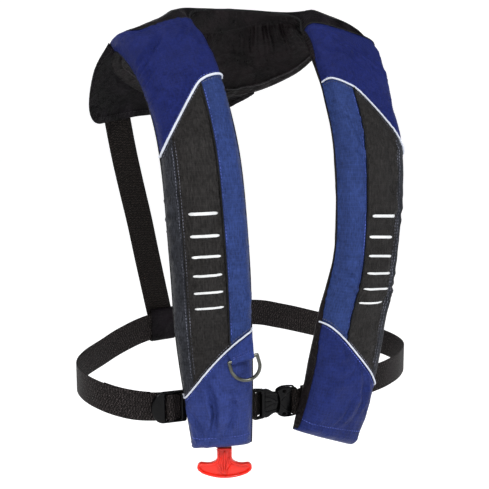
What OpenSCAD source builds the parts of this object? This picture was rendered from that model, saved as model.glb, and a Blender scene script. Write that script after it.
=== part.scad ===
// Inflatable life jacket: a horseshoe cover over a folded bladder, with its inflator,
// oral tube, waist belt, back strap and towing ring.
// +X is the wearer's left, -Y is the wearer's front, +Z is up.
// The origin is the middle of the neck opening, level with the tops of the shoulders.

/* [Cover] */
// Thickness of the lined cover fabric
skin = 1.6; // [1.2:0.1:2.4]
// Thickness of each lobe at the waist, over the inflator
waist_t = 42; // [40:1:48]
// Thickness of each lobe at the chest
chest_t = 36; // [32:1:42]
// Thickness of the collar and of the shoulders
collar_t = 28; // [24:1:32]
// Diameter of the piping cord in the seams
piping_d = 3.2; // [2.4:0.2:4]
// Gap between neighbouring panels
seam_gap = 0.5; // [0.3:0.1:1]

/* [Webbing] */
// Width of the waist belt and of the back strap
web_w = 38; // [36:1:40]
// Thickness of the webbing
web_t = 1.8; // [1.2:0.1:2.2]

/* [Towing ring] */
// Wire diameter of the D-shaped ring
ring_wire = 4.4; // [3.6:0.2:5]
// Inside width of the ring
ring_w = 32; // [28:1:38]
// Inside height of the ring
ring_h = 26; // [22:1:32]

/* [Pull handle] */
// Overall width of the handle
handle_w = 71; // [60:1:80]
// Overall height of the handle
handle_h = 41; // [38:1:46]
// Thickness of the handle
handle_t = 9; // [7:0.5:11]

/* [Inflator] */
// Outside diameter of the gas cylinder
cylinder_d = 22; // [20:1:24]
// Length of the gas cylinder's straight wall
cylinder_l = 74; // [60:1:80]
// Length of the firing lever, pivot to tip
lever_r = 24; // [22:0.5:25]

/* [Hidden] */

blue = "midnightblue";
black = "dimgray";
white = "gainsboro";
web = "darkslategray";
plastic = "slategray";

RIGHT = -1;
LEFT = 1;

// ---------------------------------------------------------------- horseshoe stations
// One row per station, from the bottom of the right lobe, over the right shoulder, round
// the back of the neck and down to the bottom of the left lobe: neck-side edge point,
// outer edge point, thickness.
STATIONS = [
    [[-46, -130, -516], [-116, -104, -522], 34],
    [[-46, -134, -440], [-128, -106, -448], waist_t],
    [[-47, -134, -360], [-138, -106, -368], waist_t - 2],
    [[-49, -130, -270], [-143, -102, -275], chest_t],
    [[-54, -112, -150], [-148, -86, -155], chest_t - 2],
    [[-62, -78, -66], [-154, -60, -88], collar_t + 4],
    [[-69, -40, -14], [-166, -32, -42], collar_t + 2],
    [[-80, -2, 16], [-182, 0, -14], collar_t],
    [[-74, 38, 32], [-174, 60, -42], collar_t],
    [[-42, 66, 35], [-104, 112, -80], collar_t],
    [[12, 76, 34], [20, 124, -85], collar_t],
    [[66, 66, 30], [102, 101, -55], collar_t],
    [[86, 34, 24], [148, 58, -6], collar_t],
    [[76, -2, 10], [178, 0, -20], collar_t],
    [[76, -40, -24], [180, -32, -56], collar_t + 2],
    [[78, -78, -72], [178, -62, -100], collar_t + 4],
    [[80, -112, -152], [180, -90, -160], chest_t - 2],
    [[74, -130, -270], [164, -110, -280], chest_t],
    [[50, -134, -360], [146, -114, -368], waist_t - 2],
    [[34, -134, -440], [131, -114, -452], waist_t],
    [[18, -128, -507], [108, -110, -545], 34],
];
INNER = [for (s = STATIONS) s[0]];
OUTER = [for (s = STATIONS) s[1]];
THICK = [for (s = STATIONS) s[2]];
LAST = len(STATIONS) - 1;
lobe_span = 7;                  // stations down each lobe
shoulder_u = [lobe_span, LAST - lobe_span];   // where the right and left lobes start

back_share = 0.45;   // share of the thickness behind the line between the edges
seam_share = 0.22;   // height of the closure line, as a share of the thickness
squareness = 0.5;    // exponent of the rounded cross-section: 1 is an ellipse
round_s = 0.2;       // length of the rounded lobe end, in stations
slit_share = 0.1;    // how far the closure stays open at a lobe's end

// Split of each lobe's front, as shares of the way round from the neck side
seam_p = 0.45;
gusset_p = 0.64;

// ---------------------------------------------------------------- functions
function lerp(a, b, t) = a + (b - a) * t;
function unit(v) = v / norm(v);
function steps(a, b, n) = [for (i = [0:n]) lerp(a, b, i / n)];

// Smooth curve through the points P at parameter t, from 0 to len(P) - 1
function smooth(P, t) =
    let (
        n = len(P) - 1,
        i = min(max(floor(t), 0), n - 1),
        f = t - i,
        b = P[i],
        c = P[i + 1],
        a = i > 0 ? P[i - 1] : 2 * b - c,
        d = i + 2 <= n ? P[i + 2] : 2 * c - b
    )
    0.5 * (2 * b + (c - a) * f + (2 * a - 5 * b + 4 * c - d) * f * f
        + (3 * b - a - 3 * c + d) * f * f * f);

function middle(u) = (smooth(INNER, u) + smooth(OUTER, u)) / 2;
function across(u) = smooth(OUTER, u) - smooth(INNER, u);
function outward(u) =
    let (e = 0.02, ahead = middle(min(u + e, LAST)) - middle(max(u - e, 0)))
    unit(cross(ahead, across(u)));
function power(x, e) = sign(x) * pow(abs(x), e);

// 1 along the lobe, falling to the closure slit at its bottom end
function end_round(u) =
    let (s = max(0, max(round_s - u, u - (LAST - round_s))) / round_s)
    max(slit_share, sqrt(max(0, 1 - s * s)));

// Point at share p round the front (0 neck side, 1 outer side), d inside the cover
function front(u, p, d = 0) =
    let (
        w = across(u),
        half = norm(w) / 2 - d,
        t = smooth(THICK, u),
        rise = ((1 - seam_share) * t - d) * power(sin(180 * p), squareness) * end_round(u)
    )
    middle(u) - unit(w) * half * power(cos(180 * p), squareness)
        + outward(u) * (rise - (back_share - seam_share) * t);

// Point at share q round the wearer's side, from the outer edge back to the neck side
function rear(u, q, d = 0) =
    let (
        w = across(u),
        half = norm(w) / 2 - d,
        t = smooth(THICK, u),
        drop = (seam_share * t - d) * power(sin(180 * q), squareness) * end_round(u)
    )
    middle(u) + unit(w) * half * power(cos(180 * q), squareness)
        - outward(u) * (drop + (back_share - seam_share) * t);

// Station parameter of a point s stations down a lobe
function lobe_u(side, s) = side == RIGHT ? shoulder_u[0] - s : shoulder_u[1] + s;

// Lines across the front of a lobe, in stations down from the shoulder
function ease(x) = let (t = min(1, max(0, x))) t * t * (3 - 2 * t);
function share_a(p) = -power(cos(180 * p), squareness);
function collar_seam(side, p) =
    side == RIGHT ? 0.07 - 0.37 * ease((share_a(p) - 0.35) / 0.35) : 0.05;
function upper_seam(side, p) =
    let (a = share_a(p), bend = a + 0.4 + sqrt(pow(a + 0.4, 2) + 0.04))
    side == RIGHT ? 1.73 + 0.41 * bend : 1.7 + 0.45 * bend + 0.1 * exp(-pow((a + 0.55) / 0.45, 2));
function lower_seam(side, p) =
    let (a = share_a(p) + 1)
    5.02 + (side == RIGHT ? 0.38 * pow(a, 1.4) : 0.47 * pow(a, 1.15));
function seam_line(side, k, p) =
    [collar_seam(side, p), upper_seam(side, p), lower_seam(side, p), lobe_span][k];

// ---------------------------------------------------------------- solids from points
function quad(a, b, c, d) = [[a, b, c], [a, c, d]];
function volume_sign(pts, faces) =
    let (v = [for (f = faces) pts[f[0]] * cross(pts[f[1]], pts[f[2]])])
    sign(v * [for (x = v) 1]);

// Closed solid from triangles that all turn the same way
module closed(pts, faces) {
    turned = volume_sign(pts, faces) > 0 ? [for (f = faces) [f[2], f[1], f[0]]] : faces;
    polyhedron(pts, turned, convexity = 8);
}

// Sheet between two matching grids of points
module sheet(top, under) {
    nr = len(top);
    nc = len(top[0]);
    base = nr * nc;
    function f(i, j) = i * nc + j;
    function g(i, j) = base + i * nc + j;
    pts = concat([for (r = top) each r], [for (r = under) each r]);
    faces = [
        for (i = [0:nr - 2], j = [0:nc - 2]) each concat(
            quad(f(i, j), f(i + 1, j), f(i + 1, j + 1), f(i, j + 1)),
            quad(g(i, j), g(i, j + 1), g(i + 1, j + 1), g(i + 1, j))),
        for (j = [0:nc - 2]) each concat(
            quad(f(0, j), f(0, j + 1), g(0, j + 1), g(0, j)),
            quad(f(nr - 1, j + 1), f(nr - 1, j), g(nr - 1, j), g(nr - 1, j + 1))),
        for (i = [0:nr - 2]) each concat(
            quad(f(i + 1, 0), f(i, 0), g(i, 0), g(i + 1, 0)),
            quad(f(i, nc - 1), f(i + 1, nc - 1), g(i + 1, nc - 1), g(i, nc - 1))),
    ];
    closed(pts, faces);
}

// Solid through a row of closed rings with the same number of points
module loft(rings) {
    n = len(rings);
    m = len(rings[0]);
    even = [for (k = rings[0]) 1 / m];
    pts = concat([for (r = rings) each r], [even * rings[0], even * rings[n - 1]]);
    function f(i, j) = i * m + j % m;
    faces = [
        for (i = [0:n - 2], j = [0:m - 1])
            each quad(f(i, j), f(i, j + 1), f(i + 1, j + 1), f(i + 1, j)),
        for (j = [0:m - 1]) [f(0, j + 1), f(0, j), n * m],
        for (j = [0:m - 1]) [f(n - 1, j), f(n - 1, j + 1), n * m + 1],
    ];
    closed(pts, faces);
}

// Round cord along a list of points
module cord(path, d, sides = 8) {
    n = len(path) - 1;
    loft([for (i = [0:n])
        let (
            t = unit(path[min(i + 1, n)] - path[max(i - 1, 0)]),
            a = unit(cross(t, abs(t[2]) > 0.8 ? [1, 0, 0] : [0, 0, 1])),
            b = cross(t, a)
        )
        [for (k = [0:sides - 1])
            path[i] + (a * cos(360 * k / sides) + b * sin(360 * k / sides)) * d / 2]]);
}

// Flat webbing along a list of points, its width along the direction "up"
module webbing(path, up, w = web_w, t = web_t) {
    n = len(path) - 1;
    loft([for (i = [0:n])
        let (
            ahead = unit(path[min(i + 1, n)] - path[max(i - 1, 0)]),
            face = unit(cross(ahead, up)),
            wide = unit(cross(face, ahead))
        )
        [path[i] + wide * w / 2 + face * t / 2, path[i] - wide * w / 2 + face * t / 2,
            path[i] - wide * w / 2 - face * t / 2, path[i] + wide * w / 2 - face * t / 2]]);
}

// ---------------------------------------------------------------- cover of the lobes
// Part of a lobe's front between two seam lines and two shares round the section
module front_panel(side, from, to, p0, p1, rows, cols, trim) {
    ps = steps(p0, p1, cols);
    function row(t, p) =
        lerp(seam_line(side, from, p) + trim[0], seam_line(side, to, p) - trim[1],
            to == 3 ? sin(90 * t) : t);
    function grid(d) =
        [for (t = steps(0, 1, rows)) [for (p = ps) front(lobe_u(side, row(t, p)), p, d)]];
    sheet(grid(0), grid(skin));
}

seam_trim = 0.053;   // clearance to a piped seam, in stations
edge_trim = 0.004;   // half of the gap at a plain seam, as a share round the section
cord_trim = 0.013;   // clearance to the piping, as a share round the section

module shoulder_panel(side)
    front_panel(side, 0, 1, 0, 1, 14, 16, trim = [seam_gap / 100, seam_trim]);
module inner_panel(side)
    front_panel(side, 1, 2, 0, seam_p - cord_trim, 16, 7, trim = [seam_trim, seam_trim]);
module outer_panel(side)
    front_panel(side, 1, 2, seam_p + cord_trim, gusset_p - edge_trim, 16, 5,
        trim = [seam_trim, seam_trim]);
module side_panel(side)
    front_panel(side, 1, 2, gusset_p + edge_trim, 1, 16, 6, trim = [seam_trim, seam_trim]);
module lower_panel(side)
    front_panel(side, 2, 3, 0, 1, 14, 16, trim = [seam_trim, 0]);

// Wearer's side of a lobe or of the collar
module rear_panel(u0, u1, rows, cols) {
    inset = 0.5;    // keeps the lining's lips off the front panels
    us = steps(u0, u1, rows);
    qs = steps(0, 1, cols);
    function row(u, d) =
        [for (q = qs) rear(u, q, d) - outward(u) * inset];
    sheet([for (u = us) row(u, 0)], [for (u = us) row(u, skin)]);
}
module lobe_lining(side)
    rear_panel(lobe_u(side, seam_gap / 100), lobe_u(side, lobe_span), 30, 10);

// Piping: a cord laid in the seam, just proud of the cover
function seam_point(side, k, p) =
    let (u = lobe_u(side, seam_line(side, k, p)))
    front(u, p) + outward(u) * 0.1;
module cross_piping(side, k)
    cord([for (p = steps(0.02, 0.98, 34)) seam_point(side, k, p)], piping_d);
module seam_piping(side)
    cord([for (t = steps(0.03, 0.97, 30))
        let (u = lobe_u(side, lerp(upper_seam(side, seam_p), lower_seam(side, seam_p), t)))
        front(u, seam_p) - outward(u) * 0.4], piping_d - 0.6);

module right_shoulder_panel() color(blue) shoulder_panel(RIGHT);
module right_inner_panel() color(blue) inner_panel(RIGHT);
module right_outer_panel() color(black) outer_panel(RIGHT);
module right_side_panel() color(black) side_panel(RIGHT);
module right_lower_panel() color(blue) lower_panel(RIGHT);
module right_lining() color(black) lobe_lining(RIGHT);
module right_upper_piping() color(white) cross_piping(RIGHT, 1);
module right_lower_piping() color(white) cross_piping(RIGHT, 2);
module right_seam_piping() color(black) seam_piping(RIGHT);

module left_shoulder_panel() color(blue) shoulder_panel(LEFT);
module left_inner_panel() color(blue) inner_panel(LEFT);
module left_outer_panel() color(black) outer_panel(LEFT);
module left_side_panel() color(black) side_panel(LEFT);
module left_lower_panel() color(blue) lower_panel(LEFT);
module left_lining() color(black) lobe_lining(LEFT);
module left_upper_piping() color(white) cross_piping(LEFT, 1);
module left_lower_piping() color(white) cross_piping(LEFT, 2);
module left_seam_piping() color(black) seam_piping(LEFT);

// ---------------------------------------------------------------- collar and yoke
collar_from = shoulder_u[0] + seam_gap / 100;
collar_to = shoulder_u[1] - seam_gap / 100;

function collar_grid(d) = [for (t = steps(0, 1, 30)) [for (p = steps(0, 1, 16))
    front(lerp(lobe_u(RIGHT, collar_seam(RIGHT, p)) + seam_gap / 100,
        lobe_u(LEFT, collar_seam(LEFT, p)) - seam_gap / 100, t), p, d)]];
module collar_cover() color(black) sheet(collar_grid(0), collar_grid(skin));
module collar_lining() color(black) rear_panel(collar_from, collar_to, 30, 10);

// Fabric yoke that hangs from the collar's outer edge across the shoulder blades. It sits
// towards the wearer's right, where the back strap pulls it down.
YOKE_HEM = [
    [-189, 6, -8], [-206, 22, -46], [-208, 40, -90], [-199, 56, -113], [-174, 82, -115],
    [-140, 102, -112], [-98, 118, -110], [-44, 130, -109], [8, 134, -106], [28, 130, -98],
    [41, 125, -91], [50, 120, -84],
];
yoke_u = [7.1, 10.3];
module back_yoke()
    color(black) {
        last = len(YOKE_HEM) - 1;
        away = [0, -skin, 0];
        top = [for (r = steps(0, 1, 5)) [for (c = steps(0, last, 33))
            lerp(rear(lerp(yoke_u[0], yoke_u[1], c / last), 0, -seam_gap - 0.4),
                smooth(YOKE_HEM, c), r)]];
        sheet(top, [for (r = top) [for (p = r) p + away]]);
    }

// ---------------------------------------------------------------- bladder
// Folded bladder: share of the lobe's thickness that it fills at each station
FOLD = [
    0.13, 0.13, 0.08, 0.28, 0.55, 0.6, 0.6, 0.6, 0.6, 0.6, 0.6,
    0.6, 0.6, 0.6, 0.6, 0.5, 0.26, 0.26, 0.3, 0.5, 0.5,
];
fold_edge = 9;       // clearance to the cover's edges
fold_floor = 3.6;    // clearance to the lining's wearer side
fold_sides = 14;

module bladder()
    color("gold") {
        us = steps(0.25, LAST - 0.35, 44);
        loft([for (u = us)
            let (
                w = across(u),
                half = norm(w) / 2 - fold_edge,
                t = smooth(THICK, u),
                high = smooth(FOLD, u) * t / 2,
                c = middle(u) + outward(u) * (fold_floor + high - back_share * t)
            )
            [for (k = [0:fold_sides - 1])
                let (a = 360 * k / fold_sides)
                c + unit(w) * half * power(cos(a), squareness)
                    + outward(u) * high * power(sin(a), squareness)]]);
    }

// ---------------------------------------------------------------- inflator
// Its own frame: +X towards the neck side, -Y out through the cover, +Z up
lobe_turn = -19;
inflator_at = [-86, -121, -452];
module in_inflator() translate(inflator_at) rotate([0, 0, lobe_turn]) children();

gas_x = -20;         // axis of the cylinder, pin, spring and bobbin
gas_y = -3;
body_r = 13;
body_h = 34;
stem_x = 10;          // the manifold's stem and its nut
stem_z = 8;
stem_r = 4;
body_z = -14;        // bottom of the inflator body
bore_r = 5;          // bore for the pin's head and its spring
neck_r = 5;          // threaded neck of the cylinder
neck_l = 12;
pin_head_r = 4.8;
pin_r = 1.6;
head_z = -2;         // underside of the pin's head
head_t = 4;
guide_z = 8;         // ledge that guides the pin
cap_h = 20;
bobbin_r = 7;
bobbin_h = 8;
pivot = [-8, -16.8, 2];
lever_t = 3.4;
lever_pin_r = 1.75;
pin_play = 0.1;

module at_gas(z = 0) translate([gas_x, gas_y, z]) children();

module manifold()
    color(plastic) in_inflator() {
        translate([stem_x, 4.6, stem_z]) rotate([-90, 0, 0]) cylinder(r = 15, h = 3, $fn = 64);
        translate([stem_x, -9, stem_z]) rotate([-90, 0, 0]) cylinder(r = stem_r, h = 13.6, $fn = 48);
    }

module manifold_nut()
    color("silver") in_inflator() difference() {
        translate([stem_x, -13.6, stem_z]) rotate([-90, 0, 0]) cylinder(r = 6.5, h = 4.3, $fn = 6);
        translate([stem_x, -9.2, stem_z]) rotate([-90, 0, 0]) cylinder(r = stem_r + 0.3, h = 4.5, $fn = 48);
    }

module inflator_body()
    color(plastic) in_inflator() difference() {
        union() {
            at_gas(body_z) cylinder(r = body_r - 1, h = body_h, $fn = 64);
            translate([gas_x + 4, gas_y - 6, body_z + 8]) cube([35, 12, 26]);
            translate([pivot[0], pivot[1] + lever_t / 2 + 0.2, pivot[2]]) rotate([-90, 0, 0])
                cylinder(r = 4.5, h = 8, $fn = 48);
        }
        at_gas(body_z - 1) cylinder(r = bore_r, h = guide_z - body_z + 1, $fn = 48);
        at_gas(guide_z - 1) cylinder(r = pin_r + 0.3, h = 5, $fn = 32);
        at_gas(guide_z + 2) cylinder(r = neck_r + 0.1, h = body_h, $fn = 48);
        translate([stem_x, -12, stem_z]) rotate([-90, 0, 0]) cylinder(r = stem_r + 0.1, h = 20, $fn = 48);
        translate(pivot) rotate([-90, 0, 0])
            cylinder(r = lever_pin_r + 0.02, h = 14, $fn = 32);
    }

module bobbin_cap()
    color("gold") in_inflator() at_gas(body_z - cap_h) difference() {
        cylinder(r = body_r - 1, h = cap_h - 0.3, $fn = 64);
        translate([0, 0, 3]) cylinder(r = bobbin_r + 1, h = cap_h, $fn = 48);
        for (k = [0:5])
            rotate([0, 0, 60 * k + 30]) translate([bobbin_r + 1, -2, 5]) cube([8, 4, 8]);
    }

module bobbin()
    color(white) in_inflator() at_gas(body_z - cap_h + 3.1) difference() {
        cylinder(r = bobbin_r, h = bobbin_h, $fn = 48);
        translate([0, 0, -1]) cylinder(r = 2.5, h = bobbin_h + 2, $fn = 32);
    }

// Helical spring between two heights, about the local Z axis
module helix(r, wire, z0, z1, turns, sides = 6) {
    per_turn = 14;
    n = turns * per_turn;
    cord([for (i = [0:n]) [r * cos(360 * i / per_turn), r * sin(360 * i / per_turn),
        lerp(z0 + wire / 2, z1 - wire / 2, i / n)]], wire, sides);
}

module drive_spring()
    color("silver") in_inflator() at_gas()
        helix(3.6, 1, body_z - cap_h + 3.4 + bobbin_h, head_z - 0.2, 6);

module piercing_pin()
    color("silver") in_inflator() at_gas(head_z) {
        cylinder(r = pin_head_r, h = head_t, $fn = 48);
        translate([0, 0, head_t]) cylinder(r = pin_r, h = guide_z - head_z - head_t + 2.5, $fn = 32);
    }

module inflator_lever()
    color("orange") in_inflator() translate(pivot) rotate([0, -45, 0]) rotate([90, 0, 0])
        difference() {
            union() {
                cylinder(r = 5, h = lever_t, center = true, $fn = 48);
                translate([0, -3.5, -lever_t / 2]) cube([lever_r, 7, lever_t]);
                translate([lever_r, 0, 0]) cylinder(r = 3.5, h = lever_t, center = true, $fn = 32);
            }
            cylinder(r = lever_pin_r + pin_play, h = lever_t + 2, center = true, $fn = 32);
            translate([lever_r, 0, 0])
                cylinder(r = 2, h = lever_t + 2, center = true, $fn = 32);
        }

module lever_pin()
    color("silver") in_inflator() translate(pivot) rotate([-90, 0, 0]) {
        translate([0, 0, -lever_t / 2 - 0.3]) cylinder(r = lever_pin_r, h = 13, $fn = 32);
        translate([0, 0, -lever_t / 2 - 1.3]) cylinder(r = 3, h = 1, $fn = 32);
    }

module status_window()
    color("limegreen") in_inflator()
        translate([gas_x + 14, gas_y - 7.3, body_z + 26]) cube([9, 1.2, 6]);

module gas_cylinder()
    color("silver") in_inflator() at_gas(guide_z + 2.2) difference() {
        rotate_extrude($fn = 64) {
            square([neck_r, neck_l]);
            translate([0, neck_l + 8]) square([cylinder_d / 2, cylinder_l]);
            polygon([[0, neck_l], [neck_r, neck_l], [cylinder_d / 2, neck_l + 8],
                [0, neck_l + 8]]);
            intersection() {
                translate([0, neck_l + 8 + cylinder_l]) circle(r = cylinder_d / 2, $fn = 64);
                translate([0, neck_l + 8 + cylinder_l]) square([cylinder_d, cylinder_d]);
            }
        }
        translate([0, 0, -1]) cylinder(r = pin_r + 0.4, h = 7, $fn = 32);
    }

// ---------------------------------------------------------------- lanyard and handle
handle_at = [-76, -112, -563];    // middle of the handle's lower edge
lanyard_d = 2.4;
stem_w = 19;
tip_r = 6;
module in_handle() translate(handle_at) rotate([0, 0, -20]) children();

function from_inflator(p) = inflator_at + [
    p[0] * cos(lobe_turn) - p[1] * sin(lobe_turn), p[0] * sin(lobe_turn) + p[1] * cos(lobe_turn), p[2]];
tip_x = pivot[0] + lever_r * cos(45);
tip_z = pivot[2] + lever_r * sin(45);
LANYARD = [
    [tip_x, -15.6, tip_z], [tip_x, -18.4, tip_z - 0.3], [tip_x, -19.7, tip_z - 4],
    [tip_x, -17.5, 0], [8, -12, -14], [6.5, -4, -30], [5, 5, -48], [4, 12, -62], [3.7, 13.4, -69.6],
];
module pull_lanyard()
    color("red")
        cord([for (t = steps(0, len(LANYARD) - 1, 36)) from_inflator(smooth(LANYARD, t))], lanyard_d);

module pull_handle()
    color("orangered") in_handle() rotate([90, 0, 0])
        translate([0, 0, -handle_t / 2]) linear_extrude(handle_t) {
            reach = handle_w / 2 - tip_r;
            belly = 70;   // radius of the lower edge
            lift = belly - sqrt(belly * belly - handle_w * handle_w / 4);
            sag = [for (k = [-8:8]) let (x = reach * k / 8)
                [x, belly - sqrt(belly * belly - x * x)]];
            waist = [for (k = [0:8]) [stem_w / 2 + 12 * (1 - sin(90 * k / 8)),
                14 + tip_r + 6 * (1 - cos(90 * k / 8))]];
            mirrored = [for (k = [8:-1:0]) [-waist[k][0], waist[k][1]]];
            polygon(concat(sag, [[reach, lift + 2 * tip_r - 1]], waist,
                [[stem_w / 2, handle_h], [-stem_w / 2, handle_h]], mirrored,
                [[-reach, lift + 2 * tip_r - 1]]));
            for (k = [-1, 1]) translate([k * reach, lift + tip_r - 1.4]) circle(r = tip_r, $fn = 48);
        }

// ---------------------------------------------------------------- oral inflation tube
// In the left lobe, its own frame up the lobe
oral_at = [120.5, -130.6, -262];
oral_lean = [-11.6, 5, 0];
tube_r = 6;
tube_bore = 4;
tube_l = 84;
valve_l = 16;
module in_oral() translate(oral_at) rotate(oral_lean) children();

module oral_tube()
    color(black) in_oral() {
        difference() {
            cylinder(r = tube_r, h = tube_l, $fn = 48);
            translate([0, 0, 6]) cylinder(r = tube_bore, h = tube_l, $fn = 48);
        }
        translate([0, 0, 7]) rotate([-90, 0, 0]) {
            translate([0, 0, tube_bore + 1]) cylinder(r = tube_r, h = 4.5, $fn = 48);
            translate([0, 0, tube_bore + 4.5]) cylinder(r = 11, h = 1.6, $fn = 64);
        }
    }

module valve_body()
    color("red") in_oral() translate([0, 0, tube_l + 0.1]) difference() {
        union() {
            cylinder(r = 7.5, h = valve_l, $fn = 48);
            translate([0, 0, -8]) cylinder(r = tube_bore - 0.1, h = 9, $fn = 48);
        }
        translate([0, 0, -9]) cylinder(r = 1.6, h = valve_l + 10, $fn = 32);
        translate([0, 0, 2]) cylinder(r = 5.2, h = valve_l, $fn = 48);
    }

module valve_poppet()
    color(white) in_oral() translate([0, 0, tube_l + 8]) {
        cylinder(r = 4.6, h = 5, $fn = 48);
        translate([0, 0, -6]) cylinder(r = 1.2, h = 7, $fn = 32);
    }

module valve_spring()
    color("silver") in_oral() helix(3.1, 0.8, tube_l + 2.3, tube_l + 7.9, 3);

module dust_cap()
    color("red") in_oral() translate([0, 0, tube_l + valve_l + 0.4]) {
        cylinder(r = 8.5, h = 2.5, $fn = 48);
        translate([0, 0, -1.6]) difference() {
            cylinder(r = 4.9, h = 2, $fn = 48);
            translate([0, 0, -1]) cylinder(r = 3.6, h = 4, $fn = 48);
        }
    }

// ---------------------------------------------------------------- waist belt
belt_z = -470;
WAIST = [
    [-116, -80, belt_z], [-166, -80, -467], [-200, -77, -459.5], [-226, -58, -452],
    [-241, -24, -447], [-239, 16, -445], [-221, 50, -441], [-190, 80, -436],
    [-155, 103, -427], [-110, 122, -418], [-40, 136, -412], [52, 140, -413],
    [101, 139, -423], [153, 130, -437], [203, 104, -449], [231, 64, -454.5],
    [238, 22, -456], [230, -15, -456.5], [204, -52, -456.5], [172, -78, -458],
    [142, -89, -461],
];
FRONT_STRAP = [
    [-112, -80, belt_z], [-84, -85, belt_z - 0.8], [-60, -93, belt_z - 2], [-37, -101, belt_z - 3],
];
LEFT_END = [
    [141, -89.3, -461], [112, -93, -464.5], [72, -98.6, belt_z - 0.5], [35, -101, belt_z - 3],
];

module waist_belt()
    color(web) webbing([for (t = steps(0, len(WAIST) - 1, 110)) smooth(WAIST, t)], [0, 0, 1]);
module belt_front_strap()
    color(web) webbing([for (t = steps(0, 3, 12)) smooth(FRONT_STRAP, t)], [0, 0, 1]);
module belt_left_end()
    color(web) webbing([for (t = steps(0, 3, 14)) smooth(LEFT_END, t)], [0, 0, 1]);

// Fabric loop that holds the belt against a lobe
module keeper(at, turn, deep)
    color(web) translate(at) rotate([0, 0, turn]) difference() {
        translate([-12.5, -deep / 2, -web_w / 2 - 5]) cube([25, deep, web_w + 10]);
        translate([-14, 1.5 - deep / 2, -web_w / 2 - 3]) cube([28, deep - 3, web_w + 6]);
    }
module right_belt_keeper() keeper([-82, -90.4, belt_z - 1], -19, 17);
module left_belt_keeper() keeper([88, -95.8, belt_z + 2], 8, 8.4);

lock_w = 46;
lock_h = 42;
lock_t = 5;
module ladder_lock()
    color(plastic) translate([-141, -84.2, belt_z + 1]) rotate([90, 0, 0])
        translate([0, 0, -lock_t / 2]) difference() {
            linear_extrude(lock_t) {
                translate([-lock_w / 2 + 8, -lock_h / 2]) square([lock_w - 8, lock_h]);
                intersection() {
                    translate([-lock_w / 2 + 20, 0]) circle(r = 22, $fn = 64);
                    translate([-lock_w / 2 - 4, -lock_h / 2]) square([14, lock_h]);
                }
            }
            for (x = [-6, 9])
                translate([x, -web_w / 2 + 1, -1]) cube([6, web_w - 2, lock_t + 2]);
        }

// ---------------------------------------------------------------- side-release buckle
buckle_at = [-4, -101, belt_z - 3];
buckle_t = 12;
arm_t = 4.6;

module buckle_male()
    color(plastic) translate(buckle_at) difference() {
        union() {
            translate([-31, -buckle_t / 2, -21]) cube([18, buckle_t, 42]);
            translate([-14, -arm_t / 2, -3]) cube([34, arm_t, 6]);
        }
        translate([-26, -buckle_t, -17]) cube([9, 2 * buckle_t, 34]);
    }

module buckle_arms()
    color(plastic) translate(buckle_at) for (k = [-1, 1])
        rotate([90, 0, 0]) translate([0, 0, -arm_t / 2]) linear_extrude(arm_t)
            polygon([[-12.7, k * 8], [-12.7, k * 17], [0, k * 11], [8, k * 14.5],
                [17, k * 9], [17, k * 6], [0, k * 6]]);

module buckle_female()
    color(plastic) translate(buckle_at) difference() {
        union() {
            translate([5, -buckle_t / 2, -18]) cube([18, buckle_t, 36]);
            translate([20, -buckle_t / 2 + 2, -20]) cube([12, buckle_t - 4, 40]);
        }
        translate([4, -arm_t / 2 - 0.6, -15.4]) cube([17, arm_t + 1.2, 30.8]);
        translate([25, -buckle_t, -18]) cube([4, 2 * buckle_t, 36]);
    }

// ---------------------------------------------------------------- back strap
BACK_STRAP = [
    [-158, 103, -100], [-145, 105, -170], [-126, 112, -250], [-108, 121, -330],
    [-94.5, 128, -388.5],
];
module back_strap()
    color(web) webbing([for (t = steps(0, 4, 16)) smooth(BACK_STRAP, t)], [1, 0.12, 0.2]);

module strap_loop()
    color(web) translate([-89, 128, -415.5]) rotate([0, 0, 12]) difference() {
        translate([-19, -6, -23.5]) cube([38, 12, 47]);
        translate([-20, -4, -21.5]) cube([40, 8, 43]);
    }

// ---------------------------------------------------------------- towing ring
ring_at = [-66.8, -157, -392];
ring_turn = -18;
ring_tilt = 16;
module in_ring() translate(ring_at) rotate([0, 0, ring_turn]) rotate([0, -ring_tilt, 0]) children();

module d_ring()
    color("darkgray") in_ring() {
        r = (ring_w + ring_wire) / 2;
        leg = ring_h - ring_w / 2;
        rotate([0, 90, 0]) cylinder(d = ring_wire, h = 2 * r, center = true, $fn = 32);
        for (k = [-1, 1]) {
            translate([k * r, 0, -leg]) cylinder(d = ring_wire, h = leg, $fn = 32);
            translate([k * r, 0, 0]) sphere(d = ring_wire, $fn = 32);
        }
        translate([0, 0, -leg]) rotate([90, 0, 0]) rotate([0, 0, 180])
            rotate_extrude(angle = 180, $fn = 64) translate([r, 0]) circle(d = ring_wire, $fn = 32);
    }

// Folded webbing tab that holds the ring's bar
tab_w = 28;
tab_play = 0.5;
module d_ring_tab()
    color(blue) in_ring() {
        wrap = ring_wire / 2 + tab_play;
        difference() {
            rotate([0, 90, 0]) cylinder(r = wrap + web_t, h = tab_w, center = true, $fn = 48);
            rotate([0, 90, 0]) cylinder(r = wrap, h = tab_w + 2, center = true, $fn = 48);
        }
        translate([-tab_w / 2, wrap - 0.2, 0]) cube([tab_w, web_t, 14]);
    }

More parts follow.
